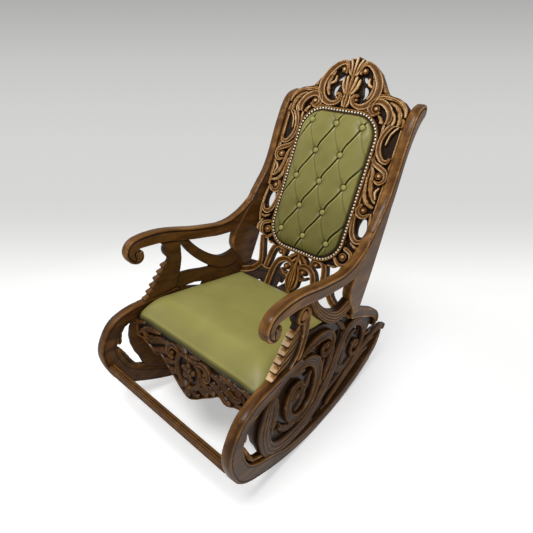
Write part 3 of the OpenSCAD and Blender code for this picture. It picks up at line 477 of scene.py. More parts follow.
def arm_face(base, inner=False):
    """One groove along the upper edge and one wound round the eye; edges are lighter, from wear and a painted
    highlight, and grooves hold painted shade.
    """
    def face(uv, deep):
        gap, across = nearest(uv, arm_curve, margin=0.03)
        upper = bell(gap + GROOVE_INSET, 0.0022) * (across > 0) * (gap < 0)
        wound = bell(nearest(uv, scroll_curve, margin=0.02)[0], 0.0024) * (scroll_area(uv) > 0)
        groove = np.maximum(upper, wound)
        sunk = round_over(deep, 0.006) + 0.0030 * groove
        # Edges: wear plus a painted highlight on the arm's top, which faces up; grooves: painted shade
        tone = base + 0.13 * bell(deep, 0.005) - 0.52 * groove
        return (SIDE_T - sunk if inner else sunk), tone
    return face


# %% A piece for each side
def two_sided(name, shape, box, step, outer, inner, finish=walnut):
    """A piece of the left side and its mirror image, each standing for its own CAD node."""
    left = relief("left_" + name, shape, box, step, outer, inner, on_side, finish)
    right = flip(left, "right_" + name)
    own(left, "carved_walnut", "left_" + name)
    own(right, "carved_walnut", "right_" + name)
    return left, right


arm_outer, arm_inner = arm_face(0.57), arm_face(0.50, inner=True)
two_sided("arm", both(arm_line, before_post), (-0.39, 0.16, 0.52, 0.70), 0.0018, arm_outer, arm_inner, polished)

# %% [markdown]
# The back post carries the arm's line on to a rolled top, and stands on a broad leg that reaches down behind the
# seat. Arm and post could be made as one piece, but the CAD model has a node for each. So each keeps to its own side
# of one straight joint, and because both follow the same line, their edges and grooves run on without a step.

# %% Back posts
LEG = [(0.148, 0.404), (0.187, 0.522), (0.212, 0.615), (0.233, 0.697), (0.243, 0.744), (0.190, 0.724),
       (0.143, 0.640), (0.105, 0.607), (0.056, 0.560), (0.047, 0.525), (0.046, 0.500), (0.062, 0.462),
       (0.092, 0.430), (0.104, 0.404)]
leg = polygon(LEG)
post_top = disc(0.341, 1.021, 0.022)
post = cut(join(arm_line, post_top, leg), before_post)
two_sided("back_post", post, (0.03, 0.37, 0.39, 1.05), 0.0020, arm_outer, arm_inner, polished)

# %% [markdown]
# The chair rocks on two runners. Each is part of a circle's rim, with a small flat worn where it touches the floor,
# so it could be cut from a turned ring. It is drawn as the space between two circles instead, because the foot then
# runs on without a seam into the front loop, a wide band that bends up to the front post.

# %% Runners
LOOP = [(-0.205, 0.392, 0.013), (-0.250, 0.386, 0.015), (-0.300, 0.378, 0.018), (-0.335, 0.370, 0.021),
        (-0.365, 0.364, 0.023), (-0.396, 0.355, 0.023), (-0.426, 0.337, 0.024), (-0.447, 0.303, 0.025),
        (-0.457, 0.260, 0.027), (-0.445, 0.212, 0.028), (-0.416, 0.159, 0.0295), (-0.373, 0.125, 0.029),
        (-0.322, 0.101, 0.0265), (-0.280, 0.086, 0.0235), (-0.240, 0.068, 0.0175), (-0.195, 0.053, 0.012)]
FLOOR_CONTACT, RADIUS, WORN, RUNNER_T = 0.038, 0.940, 0.0016, 0.040
REACH, JOINT, LOOP_FOOT = 0.388, -0.330, 0.25
REAR_END = [(0.345, 0.076, 0.020), (0.385, 0.094, 0.020), (0.424, 0.118, 0.017), (0.441, 0.148, 0.013),
            (0.447, 0.172, 0.010)]


def rim_of_circle(uv):
    from_middle = np.hypot(uv[:, 0] - FLOOR_CONTACT, uv[:, 1] - RADIUS + WORN)
    return np.minimum(RADIUS - from_middle, from_middle - RADIUS + RUNNER_T)


loop_line, rear_end, arc = band(LOOP), band(REAR_END), both(rim_of_circle, before(REACH))
foot = join(loop_line, both(arc, past(-REACH)), rear_end)
runner = both(join(arc, rear_end, both(loop_line, below(LOOP_FOOT))), past(JOINT), above(0))


# %% Faces of the smooth members
def foot_depth(uv, deep):
    """At the joint of runner and loop, the depth inside the whole foot, so that no line shows there."""
    at_joint = (np.abs(uv[:, 0] - JOINT) < 0.04) & (uv[:, 1] < LOOP_FOOT)
    return np.where(at_joint, np.maximum(foot(uv), 0), deep)


def member_face(groove_depth=0.0016, base=0.43, inner=False):
    """Rounded edges, and a fine groove just inside them."""
    def face(uv, deep):
        deep = foot_depth(uv, deep)
        groove = bell(deep - GROOVE_INSET, 0.0014)
        sunk = round_over(deep, 0.005) + groove_depth * groove
        # Edges lighter, wear plus a painted highlight; the groove darker, painted shade
        tone = base + 0.12 * bell(deep, 0.005) - 0.38 * groove
        return (SIDE_T - sunk if inner else sunk), tone
    return face


member_outer, member_inner = member_face(), member_face(0.0004, 0.44, inner=True)
two_sided("runner", runner, (-0.34, 0.47, -0.01, 0.20), 0.0020, member_outer, member_inner, polished)

# %% [markdown]
# A carver works in strokes, and so does this lesson. A stroke is a curve with a width, a low and a high level, and a
# profile across it. Sculpting by hand could be livelier, but it can't be measured or repeated. These are the
# profiles: a round bead, a bundle of reeds, a cove between two rims, a leaf with flutes, and a ball in a ring.

# %% Profiles across a stroke
def bead(a):
    return np.sqrt(np.clip(1 - a * a, 0, 1))


def reeds(count, depth=0.34):
    """Round ribs side by side along the stroke."""
    def profile(a):
        ridge = np.abs(np.sin(math.pi * count * (a + 1) / 2)) ** 0.7
        return np.clip(1 - a * a, 0, 1) ** 0.3 * (1 - depth + depth * ridge)
    return profile


def cove(rim=0.70, hollow=0.66, ribs=0):
    """A broad ribbon, hollowed between two raised rims; ribs are fine ones along the hollow."""
    def profile(a):
        a = np.abs(a)
        groove = 0.20 * (1 - np.abs(np.cos(math.pi * ribs * a / rim / 2))) ** 1.5 * (a < rim)
        edge = np.clip((a - rim) / (1 - rim), 0, 1)
        lip = np.sqrt(np.clip(1 - (2 * edge - 1) ** 2, 0, 1))
        ribbon = np.where(a < rim, hollow + (0.80 - hollow) * (a / rim) ** 2, 0.80 + 0.20 * lip)
        return (ribbon - groove) * np.clip((1 - a) / 0.12, 0, 1) ** 0.5
    return profile


def leaf(flutes=2):
    """Long flutes from the leaf's stem to its tip, on both sides of a midrib."""
    def profile(a):
        wave = np.abs(np.cos(math.pi * flutes * np.abs(a))) ** 0.7
        return np.clip(1 - a ** 2, 0, 1) ** 0.45 * (0.70 + 0.30 * wave)
    return profile


def ball(ring):
    """A round boss inside a sunk ring and a raised rim."""
    def profile(a):
        a = np.abs(a)
        core = np.sqrt(np.clip(1 - (a / ring) ** 2, 0, 1))
        lip = np.sin(math.pi * np.clip((a - ring) / (1 - ring), 0, 1))
        return np.where(a < ring, 0.20 + 0.80 * core, 0.15 + 0.65 * lip)
    return profile


for name, profile in (("bead", bead), ("reeds", reeds(3)), ("cove", cove()), ("leaf", leaf()), ("ball", ball(0.66))):
    print(name, "is", np.round(profile(np.linspace(-1, 1, 5)), 2), "high from edge to edge")

# %% [markdown]
# Where strokes overlap, the higher one shows, as if each were laid on the ground and pressed down. An eye, the round
# boss that a scroll winds round, is the exception: it cuts into whatever was carved there before it.

# %% Strokes and carving
def stroke(points, low, high, profile=bead, lobes=0):
    """points are (x, y, half width) in millimetres; lobes ripple the edges."""
    curve = smooth(points, 7) * 0.001
    if lobes:
        curve[:, 2] *= 0.78 + 0.22 * np.abs(np.sin(np.linspace(0, lobes * math.pi, len(curve))))
    return curve, low, high, profile


def eye(x, y, r, low, high, ring=0.66):
    cuts_in = True
    return np.array([[x, y, r], [x + 0.01, y, r]]) * 0.001, low, high, ball(ring), cuts_in


def carve(uv, strokes, ground, tone, bright=0.58):
    """The height and tone of the highest stroke at each point, over a ground."""
    height, shade = np.full(len(uv), ground, float), np.full(len(uv), tone, float)
    for curve, low, high, profile, *cuts_in in strokes:
        gap, across = nearest(uv, curve)
        m = np.nonzero(gap < 0)[0]
        rise = profile(across[m])
        h = low + (high - low) * rise
        shown = (h > height[m]) | bool(cuts_in)
        height[m[shown]] = h[shown]
        # Painted shade round each stroke's rim, where it meets the ground or another stroke
        edge = 0.6 + 0.4 * np.clip(-gap[m] / 0.0020, 0, 1)
        # Tone rises to bright with the stroke: painted highlight on high parts, painted shade on the ground, with wear
        shade[m[shown]] = (tone + (bright - tone) * rise * edge)[shown]
    return height, shade


trial = stroke([(0, 0, 10), (50, 0, 10)], 0.002, 0.010, reeds(3))
print("the middle of a reeded stroke stands", carve(np.array([[0.025, 0.0]]), [trial], 0.0, 0.2)[0], "m high")


# %% Carved and plain faces
def footprint(strokes):
    """The area that strokes cover."""
    return lambda uv: np.max([-nearest(uv, s[0])[0] for s in strokes], axis=0)


def carved_face(strokes, ground, tone=0.20, bright=0.58, lift=0.0, mirror=False, from_level=None):
    """Heights above a reference plane for relief(), or depths below from_level when it is given."""
    def face(uv, deep):
        u = np.abs(uv[:, 0]) if mirror else uv[:, 0]
        height, shade = carve(np.stack([u, uv[:, 1] - lift], -1), strokes, ground, tone, bright)
        height = height - round_over(deep, 0.0012)
        return (height if from_level is None else from_level - height), shade
    return face


def plain_back(level, tone=0.34):
    return lambda uv, deep: (np.full(len(uv), level, float), np.full(len(uv), tone, float))


def plain_inner(uv, deep):
    """The inner face of a side's carved pieces: flat, with slightly rounded, darker edges."""
    return SIDE_T - round_over(deep, 0.002), 0.46 - 0.2 * bell(deep, 0.003)


# %% [markdown]
# The middle of a side is a thin pierced panel, set back from both faces. On its outer face small leaves fill the
# ground between the large scrolls; its inner face is plain. The openings could be cut with Booleans, but here they
# are footprints taken out of the panel's own, like every member that overlaps it.

# %% Outlines round the panel
POST = [(-0.268, 0.585), (-0.250, 0.568), (-0.245, 0.552), (-0.240, 0.535), (-0.238, 0.520), (-0.330, 0.388),
        (-0.300, 0.395), (-0.250, 0.400), (-0.205, 0.410), (-0.195, 0.450), (-0.189, 0.475), (-0.185, 0.510),
        (-0.188, 0.545), (-0.192, 0.585)]
REAR_RAIL = [(0.118, 0.402, 0.019), (0.160, 0.388, 0.019), (0.205, 0.368, 0.018), (0.262, 0.343, 0.017),
             (0.315, 0.318, 0.017), (0.350, 0.293, 0.016), (0.371, 0.266, 0.014), (0.366, 0.246, 0.010)]
BRACE = [(-0.178, 0.575, 0.014), (-0.150, 0.539, 0.016), (-0.110, 0.503, 0.018), (-0.062, 0.470, 0.020),
         (-0.015, 0.449, 0.023), (0.030, 0.447, 0.027), (0.070, 0.462, 0.026), (0.110, 0.490, 0.024)]
leaf_body = polygon(POST)
rail = cut(band(REAR_RAIL), post)
members = join(arm_line, post, leaf_body, loop_line, runner, rail, band(BRACE))
grid = np.stack(np.meshgrid(np.arange(-0.5, 0.5, 0.01), np.arange(0, 1.1, 0.01)), -1).reshape(-1, 2)
print("the members of a side cover about", round((members(grid) > 0).sum() * 0.01 ** 2, 3), "square metres")

# %% Pierced panels
PANEL_T = 0.012
RAISED = SIDE_T - PANEL_T
PANEL = [(-0.210, 0.458), (-0.150, 0.455), (-0.100, 0.447), (-0.060, 0.443), (0.000, 0.452), (0.060, 0.466),
         (0.115, 0.430), (0.160, 0.392), (0.262, 0.343), (0.330, 0.308), (0.352, 0.262), (0.330, 0.232),
         (0.360, 0.214), (0.420, 0.205), (0.462, 0.186), (0.446, 0.150), (0.424, 0.118), (0.385, 0.085),
         (0.230, 0.035), (0.038, 0.012), (-0.160, 0.040), (-0.320, 0.095), (-0.334, 0.148),
         (-0.350, 0.180), (-0.370, 0.215), (-0.384, 0.255), (-0.388, 0.288), (-0.384, 0.318), (-0.372, 0.346),
         (-0.300, 0.372), (-0.240, 0.392), (-0.205, 0.405)]
OPENINGS = [disc(-0.130, 0.318, 0.024), disc(-0.268, 0.196, 0.016), disc(0.212, 0.288, 0.020),
            disc(0.037, 0.354, 0.017), disc(-0.112, 0.228, 0.018),
            polygon([(-0.178, 0.401), (-0.130, 0.402), (-0.090, 0.394), (-0.098, 0.378), (-0.140, 0.390)])]

# %% Leaves on the panel
# Each leaf: its height in metres, its lobes and its curve
GROUND_LEAVES = [
    (0.009, 6, [(-300, 330, 6), (-285, 300, 14), (-280, 262, 17), (-284, 225, 15), (-290, 190, 6)]),
    (0.009, 6, [(-262, 205, 5), (-245, 176, 12), (-215, 150, 15), (-180, 138, 14), (-140, 136, 6)]),
    (0.008, 6, [(-110, 300, 5), (-120, 265, 14), (-130, 230, 17), (-150, 200, 14), (-175, 190, 6)]),
    (0.008, 4, [(-255, 380, 5), (-215, 350, 12), (-175, 335, 13), (-135, 325, 6)]),
    (0.008, 5, [(-30, 300, 5), (-38, 260, 12), (-30, 210, 16), (-10, 180, 6)]),
    (0.008, 4, [(20, 330, 4), (28, 300, 9), (20, 262, 10), (6, 225, 5)]),
    (0.009, 6, [(95, 300, 5), (112, 270, 15), (118, 235, 18), (104, 205, 14), (84, 190, 6)]),
    (0.009, 7, [(60, 240, 5), (75, 205, 14), (105, 175, 17), (150, 160, 15), (195, 160, 6)]),
    (0.008, 4, [(190, 300, 5), (160, 295, 12), (138, 278, 12), (128, 258, 5)]),
    (0.010, 5, [(300, 226, 5), (340, 222, 9), (385, 220, 9), (425, 212, 5)]),
    (0.009, 7, [(20, 130, 4), (70, 135, 13), (125, 150, 15), (180, 172, 12), (235, 178, 5)]),
    (0.008, 9, [(20, 52, 4), (80, 62, 11), (150, 85, 14), (225, 112, 15), (300, 132, 13), (360, 134, 5)]),
    (0.009, 6, [(230, 136, 5), (290, 158, 9), (350, 164, 11), (415, 158, 5)]),
    (0.007, 8, [(-300, 112, 4), (-240, 80, 8), (-180, 64, 9), (-110, 56, 8), (-40, 52, 4)]),
    (0.010, 6, [(-60, 444, 4), (-20, 440, 6), (30, 432, 9), (80, 408, 9), (110, 385, 5)]),
    (0.009, 4, [(18, 412, 4), (48, 392, 11), (72, 368, 12), (88, 350, 5)]),
]

print("leaves on the panel:", len(GROUND_LEAVES))


def outer_carving(strokes, ground, tone=0.20):
    return carved_face(strokes, ground, tone, bright=0.44, from_level=RAISED)


ground_strokes = [stroke(points, 0, high, leaf(), lobes) for high, lobes, points in GROUND_LEAVES]
two_sided("side_panel", cut(polygon(PANEL), members, *OPENINGS), (-0.40, 0.48, 0.0, 0.48), 0.0022,
          outer_carving(ground_strokes, 0.0, tone=0.16), plain_inner)

# %% [markdown]
# The front loop is a wide plain band from the front post round to the runner, with a leafy fringe on its inside. The
# fringe could be a piece of its own, but it grows out of the band without a seam. So the loop's footprint takes in
# the fringe's strokes, and only its face changes there.

# %% Front loops
FRINGE = [
    stroke([(-404, 328, 5), (-418, 313, 9), (-423, 294, 12), (-421, 276, 8)], 0.012, 0.027, leaf(), 3),
    stroke([(-425, 254, 5), (-420, 240, 9), (-408, 216, 11), (-392, 188, 10), (-374, 166, 7)], 0.012, 0.027, leaf(), 6),
    stroke([(-366, 158, 5), (-340, 146, 7), (-312, 136, 5)], 0.012, 0.025, leaf(), 4)]
fringe = footprint(FRINGE)
plain_loop = join(both(foot, before(JOINT)), both(loop_line, above(LOOP_FOOT)))
loop = join(plain_loop, both(fringe, past(JOINT - 0.16), before(JOINT)))


def loop_face(uv, deep):
    """Plain along the band and behind the front post's leaf, carved on the fringe."""
    deep, in_band = foot_depth(uv, deep), loop_line(uv)
    by_fringe = fringe(uv) > -0.010
    level, tone = member_outer(uv, np.where(by_fringe, np.maximum(in_band, 0.0005), deep))
    height, shade = carve(uv, FRINGE, 0.010, 0.2)
    on_fringe = by_fringe & (in_band < 0.004)
    by_leaf = (leaf_body(uv) > -0.010) & (uv[:, 0] > -0.300)
    level, tone = np.where(by_leaf, 0.0005, level), np.where(by_leaf, 0.43, tone)
    edge = round_over(deep, 0.002)
    level = np.where(on_fringe, SIDE_T - height + edge, np.maximum(level, edge))
    return level, np.where(on_fringe, shade, tone)


two_sided("front_loop", loop, (-0.50, -0.19, 0.04, 0.41), 0.0020, loop_face, member_inner, polished)

# %% [markdown]
# Four big scrolls lie over the panel. The ring is a bundle of reeds that runs on as an S into the scroll behind it;
# the inner and the middle scroll are coved ribbons round an eye; and the lower rib rises from the runner to the rear.
# They could be swept curves, but swept tubes cross badly. Each is a relief, cut where another lies over it.

# %% Lines of the scrolls
def scroll(name, box, ground, strokes, *over):
    area = footprint(strokes)
    two_sided(name, cut(area, members, *over), box, 0.0018, outer_carving(strokes, ground), plain_back(RAISED))
    return area


RING = [(-298, 352, 10), (-322, 322, 17), (-331, 280, 25), (-336, 235, 27), (-327, 190, 26), (-305, 145, 26),
        (-262, 112, 26), (-200, 96, 28), (-120, 97, 31), (-55, 123, 32), (0, 170, 31), (36, 228, 28), (60, 286, 25),
        (86, 332, 22), (125, 354, 19), (172, 346, 17), (218, 322, 15), (251, 286, 14), (264, 246, 13), (252, 209, 12),
        (222, 192, 11), (188, 198, 10), (167, 222, 9), (170, 246, 8), (186, 260, 7)]
INNER_SCROLL = [(-232, 384, 8), (-188, 374, 13), (-142, 362, 17), (-102, 334, 20), (-77, 290, 21), (-73, 240, 21),
                (-87, 192, 20), (-120, 163, 18), (-165, 163, 17), (-206, 188, 16), (-230, 230, 15), (-234, 273, 14),
                (-214, 303, 12), (-183, 304, 10), (-165, 285, 8), (-172, 266, 8)]
MIDDLE_SCROLL = [(-205, 404, 6), (-170, 411, 11), (-125, 418, 15), (-75, 414, 16), (-35, 398, 15), (-10, 370, 13),
                 (-12, 343, 11), (-36, 328, 10), (-62, 338, 9), (-70, 358, 7), (-56, 370, 7)]
MIDDLE_LEAF = [(2, 350, 6), (8, 318, 16), (2, 280, 17), (-12, 245, 13), (-24, 216, 5)]
LOWER_RIB = [(40, 72, 9), (85, 95, 11), (135, 119, 13), (215, 160, 14), (300, 188, 14), (380, 199, 14), (440, 197, 14),
             (480, 180, 13)]

# %% Carving the scrolls
TOP_LEVEL, RIBBON = RAISED - 0.001, cove(0.72, 0.70, 3)
ring = scroll("ring_scroll", (-0.37, 0.30, 0.05, 0.39), 0.004,
              [stroke(RING, 0.004, TOP_LEVEL, reeds(4, 0.22)), eye(202, 239, 19, 0.006, RAISED)])
inner = scroll("inner_scroll", (-0.26, -0.04, 0.12, 0.41), 0.004,
               [stroke(INNER_SCROLL, 0.004, TOP_LEVEL, RIBBON), eye(-193, 265, 20, 0.006, RAISED)], ring)
scroll("middle_scroll", (-0.22, 0.04, 0.20, 0.45), 0.003,
       [stroke(MIDDLE_SCROLL, 0.004, TOP_LEVEL, RIBBON), eye(-43, 362, 14, 0.006, RAISED),
        stroke(MIDDLE_LEAF, 0.003, RAISED - 0.003, leaf(), 5)], ring, inner)
scroll("lower_rib", (0.02, 0.51, 0.05, 0.22), 0.004,
       [stroke(LOWER_RIB, 0.004, TOP_LEVEL, reeds(3)), eye(487, 176, 15, 0.006, RAISED)], ring)

# %% [markdown]
# The front post is carved as a hanging leaf. Folds run from the neck of a small volute down to six stepped teeth.
# An array could repeat one tooth, but the teeth also belong to the outline, so each is a small footprint set along a
# row. The tops of the teeth carry a painted highlight and the cuts between them painted shade.

# %% Row of teeth
ROW_START, ROW_END, TEETH = np.array([-0.249, 0.501]), np.array([-0.318, 0.402]), 6
ROW_STEP = np.linalg.norm(ROW_END - ROW_START) / (TEETH - 1)
ROW_ALONG = (ROW_END - ROW_START) / np.linalg.norm(ROW_END - ROW_START)
ROW_OUT = np.array([ROW_ALONG[1], -ROW_ALONG[0]])
TOOTH = [(-13, -4), (-12, 1), (-8, 4), (0, 6), (7, 7.5), (10, 6), (11, 1), (12, -4)]


def tooth(k):
    """One step of the leaf, in millimetres along and out of the row: it swells outwards and then cuts back."""
    middle = ROW_START + k * ROW_STEP * ROW_ALONG
    return polygon([middle + a / 1000 * ROW_ALONG + b / 1000 * ROW_OUT for a, b in TOOTH])


def toothed(face):
    """A painted highlight on the tops of the teeth and painted shade in the cuts between them, over a face's own tone.
    """
    def shaded(uv, deep):
        level, tone = face(uv, deep)
        place = (uv - ROW_START) @ ROW_ALONG / ROW_STEP + 0.5
        at_row = (place > 0) & (place < TEETH) & ((uv - ROW_START) @ ROW_OUT > -0.006)
        # Painted highlight on the tops of the teeth
        tone = tone + (1.0 - tone) * bell(deep, 0.003) * at_row
        share = place - np.floor(place)
        # Painted shade in the cuts between the teeth
        return level, np.where(at_row, tone * np.clip(np.minimum(share, 1 - share) / 0.10, 0, 1), tone)
    return shaded


print("a tooth every", round(1000 * ROW_STEP, 1), "mm")

# %% Strokes of the front posts
volute = disc(-0.223, 0.549, 0.028)
front_post = join(cut(join(leaf_body, *[tooth(k) for k in range(TEETH)]), arm_line, loop_line), volute)
post_strokes = []
for k in range(TEETH):
    x, y = (ROW_START + (k + 0.1) * ROW_STEP * ROW_ALONG) * 1000
    neck, middle = (-205, 522 - 9 * k, 2), (-212 + 0.5 * (x + 242), y + 26, 4)
    post_strokes.append(stroke([neck, middle, (x + 18, y + 9, 6), (x, y, 9), (x - 8, y + 2, 10)], 0.010, 0.021))
post_strokes += [
    stroke([(-210, 566, 10), (-203, 545, 14), (-201, 518, 16), (-200, 490, 15), (-205, 460, 14), (-214, 432, 13),
            (-230, 408, 13), (-252, 390, 12)], 0.010, 0.0295, cove(0.70, 0.72)),
    eye(-223, 549, 28, 0.012, 0.034, ring=0.62)]


# %% Faces of the front posts
def leaf_outer(uv, deep):
    """The leaf slopes from its rib down to its teeth."""
    inwards = -((uv - ROW_START) @ ROW_OUT)
    ground = 0.013 + 0.008 * np.clip(inwards / 0.045, 0, 1)
    height, tone = carve(uv, post_strokes, ground, 0.20, bright=0.60)
    return SIDE_T - height + round_over(deep, 0.0012), tone


def leaf_inner(uv, deep):
    """Plain, and let into the arm where the volute lies over it."""
    level, tone = plain_inner(uv, deep)
    return np.where(arm_line(uv) > 0, 0.012, level), tone


_, right_post = two_sided("front_post", front_post, (-0.38, -0.17, 0.37, 0.60), 0.0016,
                          toothed(leaf_outer), toothed(leaf_inner))
# The right side's teeth are barely lit: their painted highlight, and all the right front post's tone, is capped here
UNLIT_POST_TONE = 0.52
layer = right_post.data.attributes["tone"].data
tones = np.zeros(len(layer), np.float32)
layer.foreach_get("value", tones)
layer.foreach_set("value", np.minimum(tones, UNLIT_POST_TONE))

# %% [markdown]
# The brace is a C of reeds under the arm, and the rear rail is a coved ribbon that ends in an eye behind the side.
# Outline and carving could be drawn one by one, but each is a single band. So the line that gives the outline is
# also the stroke, and the two can't come apart.

# %% Arm braces and rear rails
brace = cut(band(BRACE), arm_line, leg, leaf_body)
brace_strokes = [stroke(np.array(BRACE) * 1000, 0.012, 0.029, reeds(5, 0.26))]
rail_strokes = [stroke(np.array(REAR_RAIL) * 1000, 0.012, 0.029, cove(0.66)), eye(366, 252, 13, 0.014, 0.030)]
two_sided("arm_brace", brace, (-0.21, 0.14, 0.42, 0.60), 0.0016,
          carved_face(brace_strokes, 0.014, from_level=SIDE_T), plain_inner)
two_sided("rear_rail", rail, (0.10, 0.40, 0.23, 0.43), 0.0018,
          carved_face(rail_strokes, 0.014, from_level=SIDE_T), plain_inner)

# %% [markdown]
# The back leans between the two posts. It could be built in its leaning place, but then every length along it would
# need the angle. So it is drawn flat, seen from its front, and leant back by one function. Its carving is the same
# on both sides, so half of the strokes are listed and the rest is their mirror image. Curls are coved ribbons, and
# fronds are leaves with rippled edges that lie a little lower.

# %% How the back leans
BACK_ORIGIN = np.array([0.0, 0.197, 0.763])
RECLINE = math.radians(16.65)
HALF_W, HALF_H, FRAME_CORNER = 0.153, 0.2525, 0.090
LIFT_OF_STROKES = 0.0045
LOW, MID, TOP = -0.012, -0.008, 0.002


def on_back(x, v, n):
    """World points of the back: v runs up along it from the pad's middle, and n out of its front."""
    y = BACK_ORIGIN[1] + v * math.sin(RECLINE) - n * math.cos(RECLINE)
    z = BACK_ORIGIN[2] + v * math.cos(RECLINE) + n * math.sin(RECLINE)
    return np.stack([x, y, z], -1)


def between_posts(uv):
    return inner_half(BACK_ORIGIN[1] + uv[:, 1] * math.sin(RECLINE)) - np.abs(uv[:, 0]) - 0.0003


def curl(points, rim=0.6):
    return stroke(points, MID, TOP, cove(rim))


def frond(points, drop, lobes=0, low=LOW):
    return stroke(points, low, TOP - drop, leaf(), lobes)


def back_carving(name, shape, box, step, strokes, ground, bright, node):
    front = carved_face(strokes, ground, 0.12, bright, LIFT_OF_STROKES, mirror=True)
    piece = relief(name, shape, box, step, front, plain_back(-0.0245), on_back, walnut)
    own(piece, "carved_walnut", node)


frame_area = oblong(HALF_W, HALF_H, FRAME_CORNER)
print("the back leans", round(math.degrees(RECLINE), 2), "degrees")

# %% [markdown]
# The crest crowns the back: a fan of leaves in the middle between two large curls, and a reeded arm with leaves out
# to each post. It could be one sculpted block, but as strokes every curl keeps a crisp rim.

# %% Strokes of the crest
CREST_STROKES = [
    frond([(0, 350, 5), (0, 380, 6), (0, 404, 6)], 0, low=MID),
    stroke([(7, 350, 4), (13, 380, 6), (20, 397, 6)], MID, TOP - 0.001),
    stroke([(12, 352, 4), (24, 376, 6), (38, 390, 5)], MID, TOP - 0.002),
    curl([(26, 357, 4), (24, 374, 6), (36, 388, 8), (58, 383, 10), (82, 362, 12), (100, 332, 13), (102, 300, 13),
          (88, 272, 12), (62, 258, 10), (38, 260, 8), (24, 271, 7), (25, 287, 6), (38, 290, 5)], 0.62),
    eye(38, 367, 10, MID, TOP),
    eye(36, 277, 7, MID, TOP),
    frond([(46, 392, 5), (70, 384, 8), (94, 364, 10), (112, 336, 10), (126, 314, 9), (142, 303, 6)], 0.002, 7),
    frond([(70, 360, 5), (82, 334, 9), (82, 305, 9), (70, 284, 4)], 0.004, 5),
    stroke([(60, 345, 4), (62, 330, 6), (74, 322, 5)], LOW, TOP - 0.005),
    frond([(0, 292, 5), (0, 320, 8), (0, 346, 7)], 0, low=MID),
    stroke([(6, 292, 5), (12, 318, 8), (16, 344, 6)], MID, TOP - 0.001),
    stroke([(12, 293, 5), (24, 314, 8), (30, 338, 6)], MID, TOP - 0.002, bead, 3),
    frond([(0, 252, 6), (0, 270, 8), (0, 288, 6)], 0, low=MID),
    stroke([(8, 254, 5), (12, 272, 6), (10, 288, 4)], MID, TOP - 0.002),
    stroke([(96, 284, 6), (118, 296, 9), (148, 297, 9), (180, 289, 8), (206, 270, 7),
            (214, 248, 4)], MID, TOP, reeds(3)),
    curl([(126, 248, 4), (108, 242, 7), (93, 256, 9), (100, 276, 9), (124, 281, 10), (148, 270, 11), (164, 250, 11),
          (166, 228, 9), (156, 208, 4)], 0.62),
    eye(114, 259, 12, MID, TOP),
    frond([(156, 282, 5), (180, 272, 9), (196, 250, 10), (200, 226, 8), (192, 206, 3)], 0.001, 5, low=MID - 0.002),
    stroke([(170, 258, 4), (181, 240, 7), (180, 220, 7), (172, 200, 3)], MID - 0.002, TOP - 0.002, bead, 3),
    frond([(128, 240, 4), (140, 228, 8), (146, 208, 8), (152, 190, 3)], 0.002, 3, low=MID - 0.002),
    stroke([(60, 250, 4), (84, 246, 5), (100, 234, 5), (118, 224, 4)], MID - 0.002, TOP - 0.003, reeds(2)),
    frond([(208, 240, 6), (214, 222, 9), (212, 200, 6)], 0.004, 3),
]
print("strokes on half of the crest:", len(CREST_STROKES))

# %% Crest
CREST = [(0.2480, 0.2180), (0.2280, 0.2480), (0.2170, 0.2730), (0.1980, 0.2900), (0.1780, 0.2980), (0.1570, 0.3010),
         (0.1370, 0.3080), (0.1240, 0.3240), (0.1110, 0.3430), (0.0930, 0.3670), (0.0690, 0.3860), (0.0430, 0.3970),
         (0.0230, 0.4020), (0.0100, 0.4085), (0.0000, 0.4090), (0.0000, 0.2180)]
CREST_FOOT = 0.881 * HALF_H
crest_holes = [band([(0.036, 0.350, 0.003), (0.044, 0.343, 0.006), (0.054, 0.337, 0.004)]),
               band([(0.048, 0.320, 0.004), (0.056, 0.308, 0.008), (0.057, 0.296, 0.006), (0.052, 0.286, 0.003)])]
crest = cut(mirrored(cut(polygon(CREST), *crest_holes), LIFT_OF_STROKES), frame_area)
back_carving("crest", both(crest, between_posts, above(CREST_FOOT)), (-0.23, 0.23, 0.215, 0.42), 0.0013,
             CREST_STROKES, -0.014, 0.77, "crest")

# %% [markdown]
# Beside the pad, narrow carved strips fill the space to the posts: a chain of C curls with leaves between them and
# one opening on each side. A Mirror modifier could make the second strip, but the two are separate pieces. They
# share one footprint and one list of strokes, and each keeps its own half.

